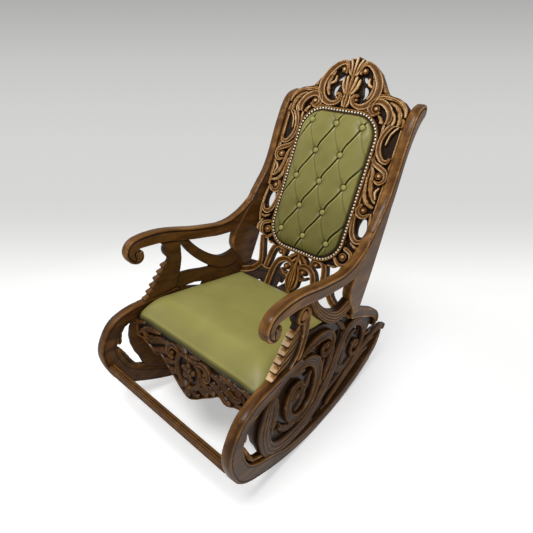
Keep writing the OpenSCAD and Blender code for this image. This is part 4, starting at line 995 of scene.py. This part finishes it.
# %% Strokes of the back's sides
SIDE_STROKES = [
    curl([(212, 222, 8), (188, 222, 9), (170, 198, 9), (161, 166, 8), (166, 134, 9), (182, 113, 8), (200, 108, 7),
          (208, 119, 5)]),
    stroke([(204, 216, 4), (186, 192, 4), (180, 160, 3)], MID, TOP - 0.004),
    stroke([(216, 210, 8), (216, 150, 7), (217, 90, 8), (217, 30, 7), (216, -50, 6)], LOW, TOP - 0.008, reeds(2)),
    curl([(156, 112, 5), (168, 98, 8), (190, 88, 9), (210, 76, 8), (214, 56, 7), (200, 42, 6), (184, 46, 4)]),
    eye(192, 64, 12, MID, TOP),
    frond([(157, 94, 5), (168, 72, 8), (172, 46, 10), (178, 20, 10), (190, -2, 9), (206, -18, 5)], 0.002, 6),
    frond([(156, 52, 5), (160, 22, 8), (166, -6, 9), (182, -26, 9), (204, -34, 6)], 0.001, 5),
    stroke([(204, 28, 4), (196, 12, 6), (204, -6, 4)], LOW, TOP - 0.003),
    curl([(200, -58, 5), (188, -69, 7), (169, -67, 8), (160, -51, 7), (168, -34, 5)]),
    eye(179, -49, 11, MID, TOP),
    curl([(157, -70, 5), (159, -100, 7), (166, -130, 9), (184, -150, 9), (204, -146, 7), (210, -130, 4)]),
    stroke([(206, -56, 5), (213, -86, 5), (217, -120, 6), (216, -160, 6),
            (208, -190, 4)], LOW, TOP - 0.003, reeds(2)),
    frond([(172, -160, 4), (190, -170, 7), (208, -168, 5)], 0.002, 3),
    curl([(162, -184, 7), (184, -194, 7), (190, -216, 7), (176, -238, 7), (152, -240, 6), (136, -226, 5)]),
    eye(161, -212, 14, MID, TOP),
    frond([(196, -184, 5), (208, -206, 8), (208, -232, 8), (194, -250, 5)], 0.002, 4),
    frond([(186, -246, 5), (168, -258, 9), (142, -258, 9), (118, -256, 4)], 0.002, 5),
    stroke([(150, -160, 5), (146, -182, 6), (132, -204, 6), (112, -228, 5),
            (88, -246, 4)], LOW, TOP - 0.003, reeds(2)),
    stroke([(154, 216, 5), (156, 150, 6), (155, 60, 5), (155, 0, 5), (155, -60, 4)], LOW, TOP - 0.006, reeds(2)),
]
print("strokes on a side of the back:", len(SIDE_STROKES))

# %% Carved sides of the back
SIDE_OUTLINE = [(0.055, -0.2424), (0.106, -0.2575), (0.141, -0.2550), (0.177, -0.2374), (0.240, -0.2121),
                (0.2525, 0.2225), (0.0, 0.2225), (0.0, 0.0)]
side_hole = band([(0.189, -0.084, 0.010), (0.190, -0.104, 0.015), (0.190, -0.122, 0.012)])
strips = mirrored(cut(polygon(SIDE_OUTLINE), side_hole), LIFT_OF_STROKES)
strips = cut(both(strips, below(CREST_FOOT)), frame_area)
for name, own_half in (("left_back_carving", past(0)), ("right_back_carving", before(0))):
    back_carving(name, both(strips, between_posts, own_half), (-0.24, 0.24, -0.27, 0.23), 0.0014,
                 SIDE_STROKES, -0.014, 0.77, name)

# %% [markdown]
# Under the pad the splat ties the back to the seat: two scrolls on each side of a centre leaf. It could be a board
# with pierced holes, as the strips are. But here the scrolls stand free of each other, so the strokes themselves are
# the outline, and daylight shows between them.

# %% Strokes of the splat
SPLAT_STROKES = [
    curl([(62, -284, 5), (60, -262, 7), (80, -251, 9), (104, -260, 11), (115, -286, 11), (119, -316, 11),
          (122, -340, 10)]),
    stroke([(138, -346, 5), (118, -350, 5), (98, -346, 4)], MID, TOP + 0.002),
    eye(77, -272, 11, MID, TOP),
    curl([(176, -236, 8), (168, -270, 9), (158, -305, 10), (152, -340, 11), (172, -368, 12), (206, -386, 13),
          (236, -396, 13)]),
    curl([(54, -330, 5), (37, -340, 6), (17, -328, 7), (12, -308, 8), (28, -293, 9), (52, -292, 11), (74, -306, 12),
          (86, -332, 12), (92, -362, 13), (95, -400, 13), (96, -450, 13)]),
    eye(36, -314, 13, MID, TOP + 0.002),
    frond([(4, -256, 5), (16, -262, 8), (32, -276, 9), (44, -286, 5)], 0.001, 4),
    stroke([(4, -270, 5), (10, -280, 7), (18, -288, 5)], LOW, TOP - 0.002),
    frond([(150, -240, 5), (134, -252, 8), (112, -250, 5)], 0.003, 3),
]
CENTRE_LEAF = [
    stroke([(0, -292, 6), (0, -325, 12), (0, -352, 15), (0, -378, 12), (0, -400, 10),
            (0, -450, 14)], MID, TOP + 0.002, reeds(3)),
    frond([(10, -300, 4), (22, -340, 8), (20, -372, 8), (8, -392, 4)], 0.002, 4),
    frond([(0, -254, 6), (0, -275, 8), (0, -292, 6)], 0.001),
]
print("strokes on half of the splat:", len(SPLAT_STROKES) + len(CENTRE_LEAF))

# %% Lower splat
SPLAT_BOX_V = (-0.455, -0.23)
over_seat, under_pad = above(-0.444), below(-0.236)
splat = mirrored(footprint(SPLAT_STROKES), LIFT_OF_STROKES)
centre = both(mirrored(footprint(CENTRE_LEAF), LIFT_OF_STROKES), over_seat)
for side, own_half in (("left", past(0)), ("right", before(0))):
    shape = both(cut(splat, frame_area, strips, centre), between_posts, over_seat, under_pad, own_half)
    back_carving(side + "_splat", shape, (-0.24, 0.24, *SPLAT_BOX_V), 0.0014,
                 SPLAT_STROKES, -0.012, 0.64, side + "_splat_scrolls")
back_carving("splat_leaf", both(cut(centre, frame_area), under_pad), (-0.06, 0.06, *SPLAT_BOX_V), 0.0013,
             CENTRE_LEAF, -0.012, 0.64, "splat_leaf")

# %% [markdown]
# A narrow frame runs round the pad, with a bead and a groove just inside its outer edge. A bevelled curve would do as
# well. The footprint of the pad's nail row, a little smaller, cuts its opening, so frame and nails always fit.

# %% Back frame
NAIL_W, NAIL_H, NAIL_CORNER = 0.143, 0.2425, 0.080


def inside_nails(inset):
    return oblong(NAIL_W - inset, NAIL_H - inset, NAIL_CORNER - inset)


def frame_front(uv, deep):
    from_edge = frame_area(uv)
    raised, groove = bell(from_edge - 0.0042, 0.0026), bell(from_edge - 0.0082, 0.0012)
    # The raised bead is painted lighter and the groove darker: painted highlight and painted shade
    return 0.0035 * raised - 0.0015 * groove, 0.26 + 0.36 * raised - 0.16 * groove


frame_ring = cut(frame_area, inside_nails(0.0072))
own(relief("back_frame", frame_ring, (-0.16, 0.16, -0.26, 0.26), 0.0015, frame_front, plain_back(-0.028), on_back,
           walnut), "carved_walnut", "back_frame")

# %% [markdown]
# The apron stands upright under the seat: a rose in the middle, curled leaves beside it, waves of leaves to both
# ends and a thin rim along its lower edge. The rose's petals could be one modelled flower, but short round strokes
# on two rings, the inner ones higher, give the same overlapping look.

# %% Rose and leaves of the apron
SEAT_FRONT, ROSE_HEIGHT = -0.371, 284
APRON = [(0.262, 0.285), (0.220, 0.284), (0.190, 0.277), (0.164, 0.263), (0.146, 0.262), (0.130, 0.274),
         (0.116, 0.265), (0.100, 0.250), (0.080, 0.236), (0.060, 0.220), (0.040, 0.204), (0.019, 0.190),
         (0.000, 0.183), (0.000, 0.359), (0.262, 0.359)]


def petal(angle, radius, width, low, high):
    """A round petal, a little longer outwards."""
    x, y = math.cos(math.radians(angle)), math.sin(math.radians(angle))
    ends = [(r * x, ROSE_HEIGHT + r * y, width) for r in (radius, radius + 5)]
    return stroke(ends, low, high)


rose = [petal(angle, 18, 9, -0.001, 0.005) for angle in (-54, 18, 90)]
rose += [petal(angle, 8, 7, 0.001, 0.008) for angle in (-90, -18, 54)]
APRON_STROKES = rose + [
    eye(0, 284, 6, 0.003, 0.009),
    stroke([(4, 334, 6), (26, 334, 9), (44, 318, 10), (51, 290, 11), (44, 260, 11), (28, 240, 10),
            (8, 232, 7)], -0.003, 0.007, leaf(2)),
    stroke([(34, 330, 5), (50, 344, 8), (72, 343, 10), (88, 326, 10), (84, 306, 8),
            (68, 302, 6)], -0.002, 0.008, cove(0.6)),
    eye(70, 318, 8, -0.001, 0.008),
    stroke([(12, 346, 6), (28, 350, 8), (46, 356, 5)], -0.003, 0.005, leaf()),
    stroke([(2, 226, 6), (6, 210, 10), (0, 192, 5)], -0.002, 0.006, leaf(), 3),
    stroke([(14, 230, 8), (30, 222, 11), (46, 222, 7)], -0.002, 0.006, leaf(), 3),
    stroke([(48, 262, 8), (64, 252, 13), (84, 250, 7)], -0.002, 0.006, leaf(), 4),
    stroke([(62, 284, 8), (88, 274, 12), (112, 270, 6)], -0.003, 0.006, leaf(), 4),
    stroke([(92, 304, 9), (120, 296, 14), (150, 280, 11), (172, 276, 5)], -0.003, 0.006, leaf(3), 5),
    stroke([(98, 334, 8), (130, 328, 13), (160, 312, 14), (190, 298, 10), (216, 296, 5)], -0.003, 0.006, leaf(3), 7),
    stroke([(130, 352, 6), (160, 346, 11), (196, 334, 13), (222, 316, 10), (240, 300, 6)], -0.003, 0.005, leaf(3), 7),
    stroke([(170, 322, 4), (188, 312, 7), (206, 318, 7), (206, 334, 5)], -0.002, 0.007, cove(0.6)),
    stroke([(208, 352, 6), (228, 346, 9), (246, 334, 7)], -0.003, 0.005, leaf(), 4),
]
print("strokes on half of the apron:", len(APRON_STROKES))

# %% Apron
carved_apron = carved_face(APRON_STROKES, -0.004, 0.02, 0.38, mirror=True)


def apron_front(uv, deep):
    level, tone = carved_apron(uv, deep)
    rim = bell(deep - 0.003, 0.0022) * (uv[:, 1] < 0.345)
    return np.maximum(level, -0.004 + 0.007 * rim), np.maximum(tone, 0.46 * rim)


def on_apron(x, z, n):
    return np.stack([x, SEAT_FRONT - n, z], -1)


apron_area = both(mirrored(polygon(APRON)), lambda uv: inner_half(SEAT_FRONT) - np.abs(uv[:, 0]) - 0.0003)
own(relief("apron", apron_area, (-0.265, 0.265, 0.175, 0.362), 0.0014, apron_front, plain_back(-0.024), on_apron,
           walnut), "carved_walnut", "front_apron", "apron_carving")

# %% [markdown]
# Seat and back are covered in olive leather. It is cloudy from use and has fine pores, and painted shade darkens its
# folds. A photograph of leather could be mapped on it, but noise and Voronoi cells give the same at any size, without
# seams.

# %% Leather
def olive_leather():
    material, tree, shader = new_material("olive_leather")
    coords = tree.nodes.new("ShaderNodeTexCoord")
    here = [("Vector", coords.outputs["Object"])]
    clouds = add_node(tree, "ShaderNodeTexNoise", here, Scale=9.0, Detail=3.0)
    pores = add_node(tree, "ShaderNodeTexVoronoi", here, Scale=420.0)
    stops = [(0.0, (0.016, 0.012, 0.004)), (0.40, (0.128, 0.110, 0.026)), (0.75, (0.302, 0.276, 0.076)),
             (1.0, (0.440, 0.415, 0.160))]
    tree.links.new(tone_colour(tree, clouds.outputs["Fac"], 0.25, stops), shader.inputs["Base Color"])
    set_inputs(shader, Roughness=0.42, Specular_IOR_Level=0.30)
    bump(tree, shader, pores.outputs["Distance"], 0.08, 0.0004)
    return material


leather = olive_leather()
print("leather:", leather.name)

# %% [markdown]
# The seat cushion is a box of leather: drawn in along its lower edge, rising quickly over a rolled front, and fullest
# in the middle. Cloth simulation with pressure could swell it, but this cushion is firm and its seams are straight,
# so a few smooth curves for its height give a closer shape, and the same one each time.

# %% Height of the cushion
SEAT_HEIGHT, SEAT_SLOPE, CUSHION_DEPTH = 0.359, math.radians(2.5), 0.4448
LEAN = math.tan(RECLINE - SEAT_SLOPE)


def swell(depth, reach):
    """A quarter round: 0 at the edge and 1 from a reach inwards."""
    t = 1 - np.clip(depth / reach, 0, 1)
    return np.sqrt(1 - t * t)


def cushion_area(uv):
    half_width = inner_half(SEAT_FRONT + uv[:, 1]) - 0.0005
    return rounded_depth(uv[:, 0], uv[:, 1] - CUSHION_DEPTH / 2, half_width, CUSHION_DEPTH / 2, 0.026)


def cushion_top(uv, deep):
    """A soft roll over the front, a firmer roll at the sides, and a low crown."""
    x, t = uv.T
    front = 0.006 + 0.046 * np.sin(math.pi / 2 * np.clip(t / 0.088, 0, 1))
    from_sides = np.minimum(inner_half(SEAT_FRONT + t) - np.abs(x), CUSHION_DEPTH - t)
    rise = front * (0.46 + 0.54 * swell(from_sides, 0.055)) + 0.0075 * swell(deep, 0.210)
    # The leather is drawn in along its lower edge and at the front corners
    rise -= 0.0030 * bell(deep, 0.006)
    for side in (-1, 1):
        rise -= 0.004 * bell(np.hypot(side * x - 0.235, t - 0.010), 0.030)
    # Painted shade down the front roll, along the lower edge and towards every edge of the top
    front_shade = 0.17 * (1 - np.clip(t / 0.090, 0, 1))
    return rise, 0.64 + 0.12 * swell(deep, 0.090) - front_shade - 0.22 * bell(deep, 0.003)


# %% Seat cushion
def on_seat(x, t, h):
    """World points of the seat: t runs back from its front edge, h up from its board; its rear leans like the back."""
    t = t + h * LEAN * t / CUSHION_DEPTH
    y = SEAT_FRONT + t * math.cos(SEAT_SLOPE) + h * math.sin(SEAT_SLOPE)
    z = SEAT_HEIGHT - t * math.sin(SEAT_SLOPE) + h * math.cos(SEAT_SLOPE)
    return np.stack([x, y, z], -1)


cushion = relief("seat_cushion", cushion_area, (-0.27, 0.27, -0.005, 0.45), 0.004, cushion_top,
                 plain_back(0.0003, 0.4), on_seat, leather)
own(cushion, "olive_leather", "seat_cushion")

# %% [markdown]
# The back pad is deep-buttoned: each button pulls the leather down, and folds run on the slant from button to
# button, sharp ones rising to one side and softer ones to the other. Simulated cloth could find such folds, but not in
# these places. So the height is computed: full between the buttons, a round dip at each and a crease along each fold.

# %% Buttons and folds
PITCH, ROW, LIFT = 0.095, 0.096, 0.007


def grid_place(column, row):
    return column * PITCH, row * ROW + LIFT


BUTTONS = [grid_place(c, r) for r in range(-2, 3) for c in ((-1, 0, 1) if r % 2 == 0 else (-0.5, 0.5))]


def folds(side):
    """Folds that rise to one side (1 or -1) from every button, and from places beyond the pad's edge."""
    bends = [(0.24, 0.28), (0.72, 0.66)] if side > 0 else [(0.38, 0.27), (0.80, 0.66)]
    beyond = [(-1.5 * side, -1), (-1.5 * side, 1), (-0.5, -3), (0.5, -3), (-1.5 * side, -3)]
    step = side * PITCH / 2
    return [smooth([(x + step * a, v + ROW * b, 0.001) for a, b in [(0, 0)] + bends + [(1, 1)]], 5)
            for x, v in BUTTONS + [grid_place(c, r) for c, r in beyond]]


def fold_gap(uv, curves):
    """How far the nearest fold is, and on which side of it a point lies."""
    gap, side = np.ones(len(uv)), np.zeros(len(uv))
    for curve in curves:
        g, across = nearest(uv, curve, margin=0.03)
        near = g + 0.001 < gap
        gap[near], side[near] = (g + 0.001)[near], np.sign(across)[near]
    return gap, side


sharp_folds, soft_folds = folds(1), folds(-1)
print(len(BUTTONS), "buttons,", len(sharp_folds) + len(soft_folds), "folds")

# %% Back pad
def from_buttons(uv):
    return np.min([np.hypot(uv[:, 0] - x, uv[:, 1] - v) for x, v in BUTTONS], axis=0)


def pad_rise(uv, deep):
    """The leather's height without its folds: full between the buttons and pulled down at each."""
    body = swell(deep, 0.046)
    dip = 1 - swell(np.maximum(from_buttons(uv) - 0.008, 0), 0.034)
    return body, dip, 0.020 * body * (1 - 0.55 * dip * body)


def pad_top(uv, deep):
    body, dip, rise = pad_rise(uv, deep)
    gap, side = fold_gap(uv, sharp_folds)
    crease = bell(gap, 0.0023)
    lip = bell(gap - 0.0056, 0.0020) * np.where(side < 0, 1.0, 0.15)
    valley = bell(fold_gap(uv, soft_folds)[0], 0.0030) * (0.60 + 0.40 * dip)
    rise = rise - body * (0.0060 * crease + 0.0018 * valley) + 0.0010 * lip * body
    # Painted shade: darker towards the bottom and the edges, in creases, soft folds and button dips; painted highlight
    # on lips
    lower = np.clip(-uv[:, 1] / 0.24, -1, 1)
    tone = 0.47 + 0.08 * body + 0.12 * np.minimum(-lower, 0) - 0.04 * lower
    tone += 0.26 * lip * body * (0.4 + 0.6 * dip) - 0.95 * crease * body - 0.12 * valley - 0.12 * dip
    # A dark ring of shade round each button
    return rise, tone - 0.34 * bell(from_buttons(uv) - 0.0105, 0.0022)


pad_area = inside_nails(0.0074)
pad = relief("back_pad", pad_area, (-0.15, 0.15, -0.25, 0.25), 0.0017, pad_top, plain_back(-0.0228, 0.4), on_back,
             leather)
own(pad, "olive_leather", "back_pad")

# %% [markdown]
# Covered buttons and nail heads repeat, so each is one small dome that Geometry Nodes put at every place. Copies in a
# Python loop would work too, but a node group keeps the radius, the faces and the row's size as named inputs. It ends
# in Realize Instances and Set Material, because the export drops instances.

# %% An empty node group
TURN = (math.pi / 2 - RECLINE, 0, 0)
# DOME_TONE makes the covered buttons lighter than the pad: a painted highlight on the raised domes
DOME_RISE, DOME_TONE = 0.62, 0.74


def node_group(name, sizes):
    """An empty group with named inputs for its sizes."""
    tree = bpy.data.node_groups.new(name, "GeometryNodeTree")
    tree.interface.new_socket("Geometry", in_out="INPUT", socket_type="NodeSocketGeometry")
    for label, value in sizes.items():
        kind = "NodeSocketInt" if isinstance(value, int) else "NodeSocketFloat"
        tree.interface.new_socket(label, in_out="INPUT", socket_type=kind)
    tree.interface.new_socket("Geometry", in_out="OUTPUT", socket_type="NodeSocketGeometry")
    return tree, tree.nodes.new("NodeGroupInput").outputs, tree.nodes.new("NodeGroupOutput")


# %% Domes on points
def domes(tree, given, points, material, out):
    """Flattened balls on points, turned to the back, made real, toned and given their material."""
    ball_links = [(key, given[key]) for key in ("Radius", "Segments", "Rings")]
    made = add_node(tree, "GeometryNodeMeshUVSphere", ball_links).outputs["Mesh"]
    made = add_node(tree, "GeometryNodeInstanceOnPoints", [("Points", points), ("Instance", made)],
                    Scale=(1, 1, DOME_RISE)).outputs["Instances"]
    for kind, values in (("Transform", {"Rotation": TURN, "Translation": tuple(BACK_ORIGIN)}),
                         ("RealizeInstances", {}), ("SetShadeSmooth", {}),
                         ("StoreNamedAttribute", {"Name": "tone", "Value": DOME_TONE}),
                         ("SetMaterial", {"Material": material})):
        made = add_node(tree, "GeometryNode" + kind, [("Geometry", made)], **values).outputs["Geometry"]
    tree.links.new(made, out.inputs["Geometry"])


# %% Growing a piece from its nodes
def grow(name, points, tree, sizes):
    """Runs a node group on some points and keeps the mesh it makes."""
    data = bpy.data.meshes.new(name)
    data.from_pydata([tuple(map(float, p)) for p in points], [], [])
    piece = new_object(name, data)
    modifier = piece.modifiers.new("nodes", "NODES")
    modifier.node_group = tree
    for item in tree.interface.items_tree:
        if item.in_out == "INPUT" and item.name in sizes:
            modifier[item.identifier] = sizes[item.name]
    graph = bpy.context.evaluated_depsgraph_get()
    made = bpy.data.meshes.new_from_object(piece.evaluated_get(graph), preserve_all_data_layers=True, depsgraph=graph)
    piece.modifiers.clear()
    piece.data = made
    return piece


# %% Covered buttons
button_sizes = {"Radius": 0.0098, "Segments": 20, "Rings": 10}
tree, given, out = node_group("covered_buttons", button_sizes)
domes(tree, given, given["Geometry"], leather, out)
places = np.array(BUTTONS)
heights = pad_rise(places, pad_area(places))[2] + 0.0025
buttons = grow("back_buttons", np.column_stack([places, heights]), tree, button_sizes)
own(buttons, "olive_leather", "back_buttons")

# %% [markdown]
# A row of small domed nails holds the leather down along the frame. Their heads are pale and only a little shiny, so
# the metal is mostly a colour. They could be set by hand, but a rounded oblong, resampled by the Resample Curve node,
# keeps the steps even right round the corners.

# %% Nail heads
nail_metal, _, shader = new_material("nail_heads")
set_inputs(shader, Base_Color=(0.82, 0.76, 0.58, 1), Metallic=0.25, Roughness=0.30)
NAIL_STEP, ROW_W, ROW_H, ROW_CORNER = 0.011, 0.1442, 0.2436, 0.081
row_length = 4 * (ROW_W + ROW_H - 2 * ROW_CORNER) + 2 * math.pi * ROW_CORNER
nail_sizes = {"Radius": 0.0037, "Segments": 9, "Rings": 5, "Width": 2 * ROW_W, "Height": 2 * ROW_H,
              "Corner": ROW_CORNER, "Count": round(row_length / NAIL_STEP)}
tree, given, out = node_group("nail_row", nail_sizes)
row = add_node(tree, "GeometryNodeCurvePrimitiveQuadrilateral", [(key, given[key]) for key in ("Width", "Height")])
row = add_node(tree, "GeometryNodeFilletCurve", [("Curve", row.outputs["Curve"]), ("Radius", given["Corner"])],
               [("mode", "POLY")], Count=24)
row = add_node(tree, "GeometryNodeResampleCurve", [("Curve", row.outputs["Curve"]), ("Count", given["Count"])])
domes(tree, given, row.outputs["Curve"], nail_metal, out)
own(grow("back_nails", [(0, 0, 0)], tree, nail_sizes), "nail_heads", "back_nails")
print("nails:", nail_sizes["Count"])

# %% [markdown]
# The front stretcher is a bar between the two front loops, with reeds along all four faces. It could be a cylinder
# with an array of grooves. It is simpler to sweep one section, a rectangle whose edge dips between the reeds, from
# one end to the other.

# %% Section of the stretcher
STRETCHER_Y, STRETCHER_Z = -0.455 + SHIFT, 0.194
DEEP, HIGH, REED, DIP, STEPS = 0.020, 0.026, 0.0085, 0.0022, 16


def reeded_section():
    """Points round the section, and how high each stands on its reed."""
    corners = np.array([(-1, -1), (1, -1), (1, 1), (-1, 1)]) * (DEEP / 2, HIGH / 2)
    points, rises = [], []
    for a, b in zip(corners, np.roll(corners, -1, axis=0)):
        length = np.linalg.norm(b - a)
        count = round(length / REED)
        normal = np.array([b[1] - a[1], a[0] - b[0]]) / length
        for t in np.arange(count * STEPS) / (count * STEPS):
            rise = abs(math.sin(math.pi * t * count)) ** 0.6
            points.append(a + t * (b - a) - normal * DIP * (1 - rise))
            rises.append(rise)
    return np.array(points), np.array(rises)


# %% Sweep of the stretcher
section, rises = reeded_section()
n = len(section)
end = inner_half(STRETCHER_Y) - 0.0003
verts = np.vstack([np.column_stack([np.full(n, x), section + (STRETCHER_Y, STRETCHER_Z)]) for x in (-end, end)])
around = np.arange(n)
after = np.roll(around, -1)
i = np.arange(n // 2 - 1)
cap = np.stack([i, i + 1, n - 2 - i, n - 1 - i], -1)
faces = np.vstack([np.stack([around + n, after + n, after, around], -1), cap, cap[:, ::-1] + n])
stretcher = mesh("front_stretcher", verts, faces, walnut)
# Reeds painted lighter and the dips between them darker: painted highlight and painted shade
paint(stretcher, np.tile(0.14 + 0.46 * rises, 2))
own(stretcher, "carved_walnut", "front_stretcher")

# %% [markdown]
# Seat rails, blocks and boards are hidden inside the seat and behind the pad. They could be modelled again, but their
# plain CAD shapes are already right. So they stay, and only get a plain, paler wood.

# %% Hidden wood
hidden = wood("frame_wood", [(0.0, (0.10, 0.055, 0.028)), (1.0, (0.30, 0.18, 0.10))], rough=0.6)
for name in ("left_seat_rail", "right_seat_rail", "rear_seat_rail", "corner_blocks", "seat_board", "back_board"):
    for material_slot in bpy.data.objects[name].material_slots:
        material_slot.material = hidden
    print(name, "keeps its CAD shape")

# %% [markdown]
# The camera stands where the photograph's camera stood: in front, to the chair's left and above it, looking down.
# A camera can be aimed with a Track To constraint, but here its three axes are known, so they are set directly.

# %% Camera
lens = bpy.data.cameras.new("camera")
lens.sensor_width, lens.lens = 36.0, 27.83
right = Vector((0.76054, 0.64297, 0.09036))
up = Vector((-0.34164, 0.27794, 0.89779))
behind = Vector((0.55213, -0.71368, 0.43106))
camera = new_object("camera", lens)
camera.matrix_world = Matrix.Translation((0.7289, -0.9950, 1.0968)) @ Matrix((right, up, behind)).transposed().to_4x4()
bpy.context.scene.camera = camera
print("camera height:", round(camera.matrix_world.translation.z, 3))

# %% [markdown]
# The light is that of a plain studio. A large soft lamp hangs above the front and two weak ones stand at the sides,
# a warm and a cool one. A sun lamp would light everything alike, but the photograph's light falls off and its
# shadows have soft edges, and broad discs give both.

# %% Lamps
AIM = Vector((0, 0, 0.5))
LAMPS = [("key", (0.3, -1.7, 3.1), 1.3, 66, (1, 1, 1)),
         ("left_fill", (-2.6, -1.2, 1.8), 2.0, 10, (1.0, 0.97, 0.92)),
         ("right_fill", (2.8, -0.6, 1.6), 1.6, 6, (0.86, 0.92, 1.0))]
for name, place, diameter, watts, colour in LAMPS:
    data = bpy.data.lights.new(name, "AREA")
    data.shape, data.size, data.energy, data.color = "DISK", diameter, watts, colour
    lamp = new_object(name, data)
    lamp.location = place
    lamp.rotation_euler = (AIM - Vector(place)).to_track_quat("-Z", "Y").to_euler()
    print(name, watts, "W")

# %% [markdown]
# Behind the chair the photograph shows a grey wall that turns white towards the floor. A modelled backdrop would
# shade the chair, so the wall is painted on the world instead, by the direction of the ray, and only rays that are
# seen find it. Rays that light the chair find a plain soft white.

# %% Rays and directions
def seen(tree, *kinds):
    """1 for the named kinds of ray and 0 for all others."""
    path = tree.nodes.new("ShaderNodeLightPath")
    found = path.outputs[f"Is {kinds[0]} Ray"]
    for kind in kinds[1:]:
        found = math_node(tree, "MAXIMUM", found, path.outputs[f"Is {kind} Ray"])
    return found


def mix(tree, share, first, second):
    return add_node(tree, "ShaderNodeMixShader", [(0, share), (1, first), (2, second)]).outputs[0]


def along(tree, direction):
    """How far a ray points along a direction."""
    rays = tree.nodes.new("ShaderNodeTexCoord").outputs["Generated"]
    node = add_node(tree, "ShaderNodeVectorMath", [(0, rays)], [("operation", "DOT_PRODUCT")])
    node.inputs[1].default_value = direction
    return node.outputs["Value"]


# %% Wall
AMBIENT, CAMERA_TILT = 0.40, math.radians(25.53)
# Each grey: how steeply the ray rises, seen along the camera's level direction, and how light it is there
WALL = [(-0.58, 1.0), (-0.52, 0.97), (-0.46, 0.88), (-0.40, 0.78), (-0.34, 0.71), (-0.29, 0.68), (-0.15, 0.665),
        (-0.06, 0.625), (0.02, 0.57), (0.13, 0.43)]
world = bpy.data.worlds.new("studio")
world.use_nodes = True
tree = world.node_tree
light = tree.nodes["Background"]
set_inputs(light, Color=(1, 1, 1, 1), Strength=AMBIENT)
upwards = along(tree, up * math.cos(CAMERA_TILT) + behind * math.sin(CAMERA_TILT))
forwards = along(tree, up * math.sin(CAMERA_TILT) - behind * math.cos(CAMERA_TILT))
slope = math_node(tree, "DIVIDE", upwards, math_node(tree, "MAXIMUM", forwards, 0.30))
low, high = WALL[0][0], WALL[-1][0]
share = math_node(tree, "DIVIDE", math_node(tree, "SUBTRACT", slope, low), high - low)
greys = [((s - low) / (high - low), (grey, grey * 0.997, grey * 0.985)) for s, grey in WALL]
wall = add_node(tree, "ShaderNodeBackground", [("Color", ramp(tree, share, greys))])
shown = mix(tree, seen(tree, "Camera", "Glossy", "Transmission"), light.outputs[0], wall.outputs[0])
tree.links.new(shown, tree.nodes["World Output"].inputs["Surface"])
bpy.context.scene.world = world
bpy.context.scene.view_settings.view_transform = "Standard"
print("wall:", len(WALL), "greys")

# %% [markdown]
# The floor catches the chair's soft shadow. A floor lit by the lamps alone would look grey, and more light would
# bleach the chair, so its white comes from a little emission that only the camera sees. Further out the floor fades
# to clear, and the wall's white shows through it without a line.

# %% Floor
GLOW, FADE_FROM, FADE_OVER, FLOOR_HALF = 0.38, 0.70, 0.80, 6
floor_material, tree, shader = new_material("floor")
set_inputs(shader, Base_Color=(0.85, 0.85, 0.85, 1), Roughness=0.9, Specular_IOR_Level=0.1, Emission_Color=(1, 1, 1, 1))
glow = math_node(tree, "MULTIPLY", seen(tree, "Camera", "Transmission"), GLOW)
tree.links.new(glow, shader.inputs["Emission Strength"])
coords = tree.nodes.new("ShaderNodeTexCoord")
away = add_node(tree, "ShaderNodeVectorMath", [(0, coords.outputs["Object"])], [("operation", "LENGTH")])
fade = math_node(tree, "DIVIDE", math_node(tree, "SUBTRACT", away.outputs["Value"], FADE_FROM), FADE_OVER)
fade = math_node(tree, "MINIMUM", math_node(tree, "MAXIMUM", fade, 0.0), 1.0)
fade = math_node(tree, "MULTIPLY", fade, seen(tree, "Camera"))
clear = tree.nodes.new("ShaderNodeBsdfTransparent")
faded = mix(tree, fade, shader.outputs[0], clear.outputs[0])
tree.links.new(faded, tree.nodes["Material Output"].inputs["Surface"])
corners = [(x * FLOOR_HALF, y * FLOOR_HALF, 0) for x, y in ((-1, -1), (1, -1), (1, 1), (-1, 1))]
floor = mesh("floor", corners, [(0, 1, 2, 3)], floor_material)
print("floor fades out", FADE_FROM + FADE_OVER, "m from the chair")
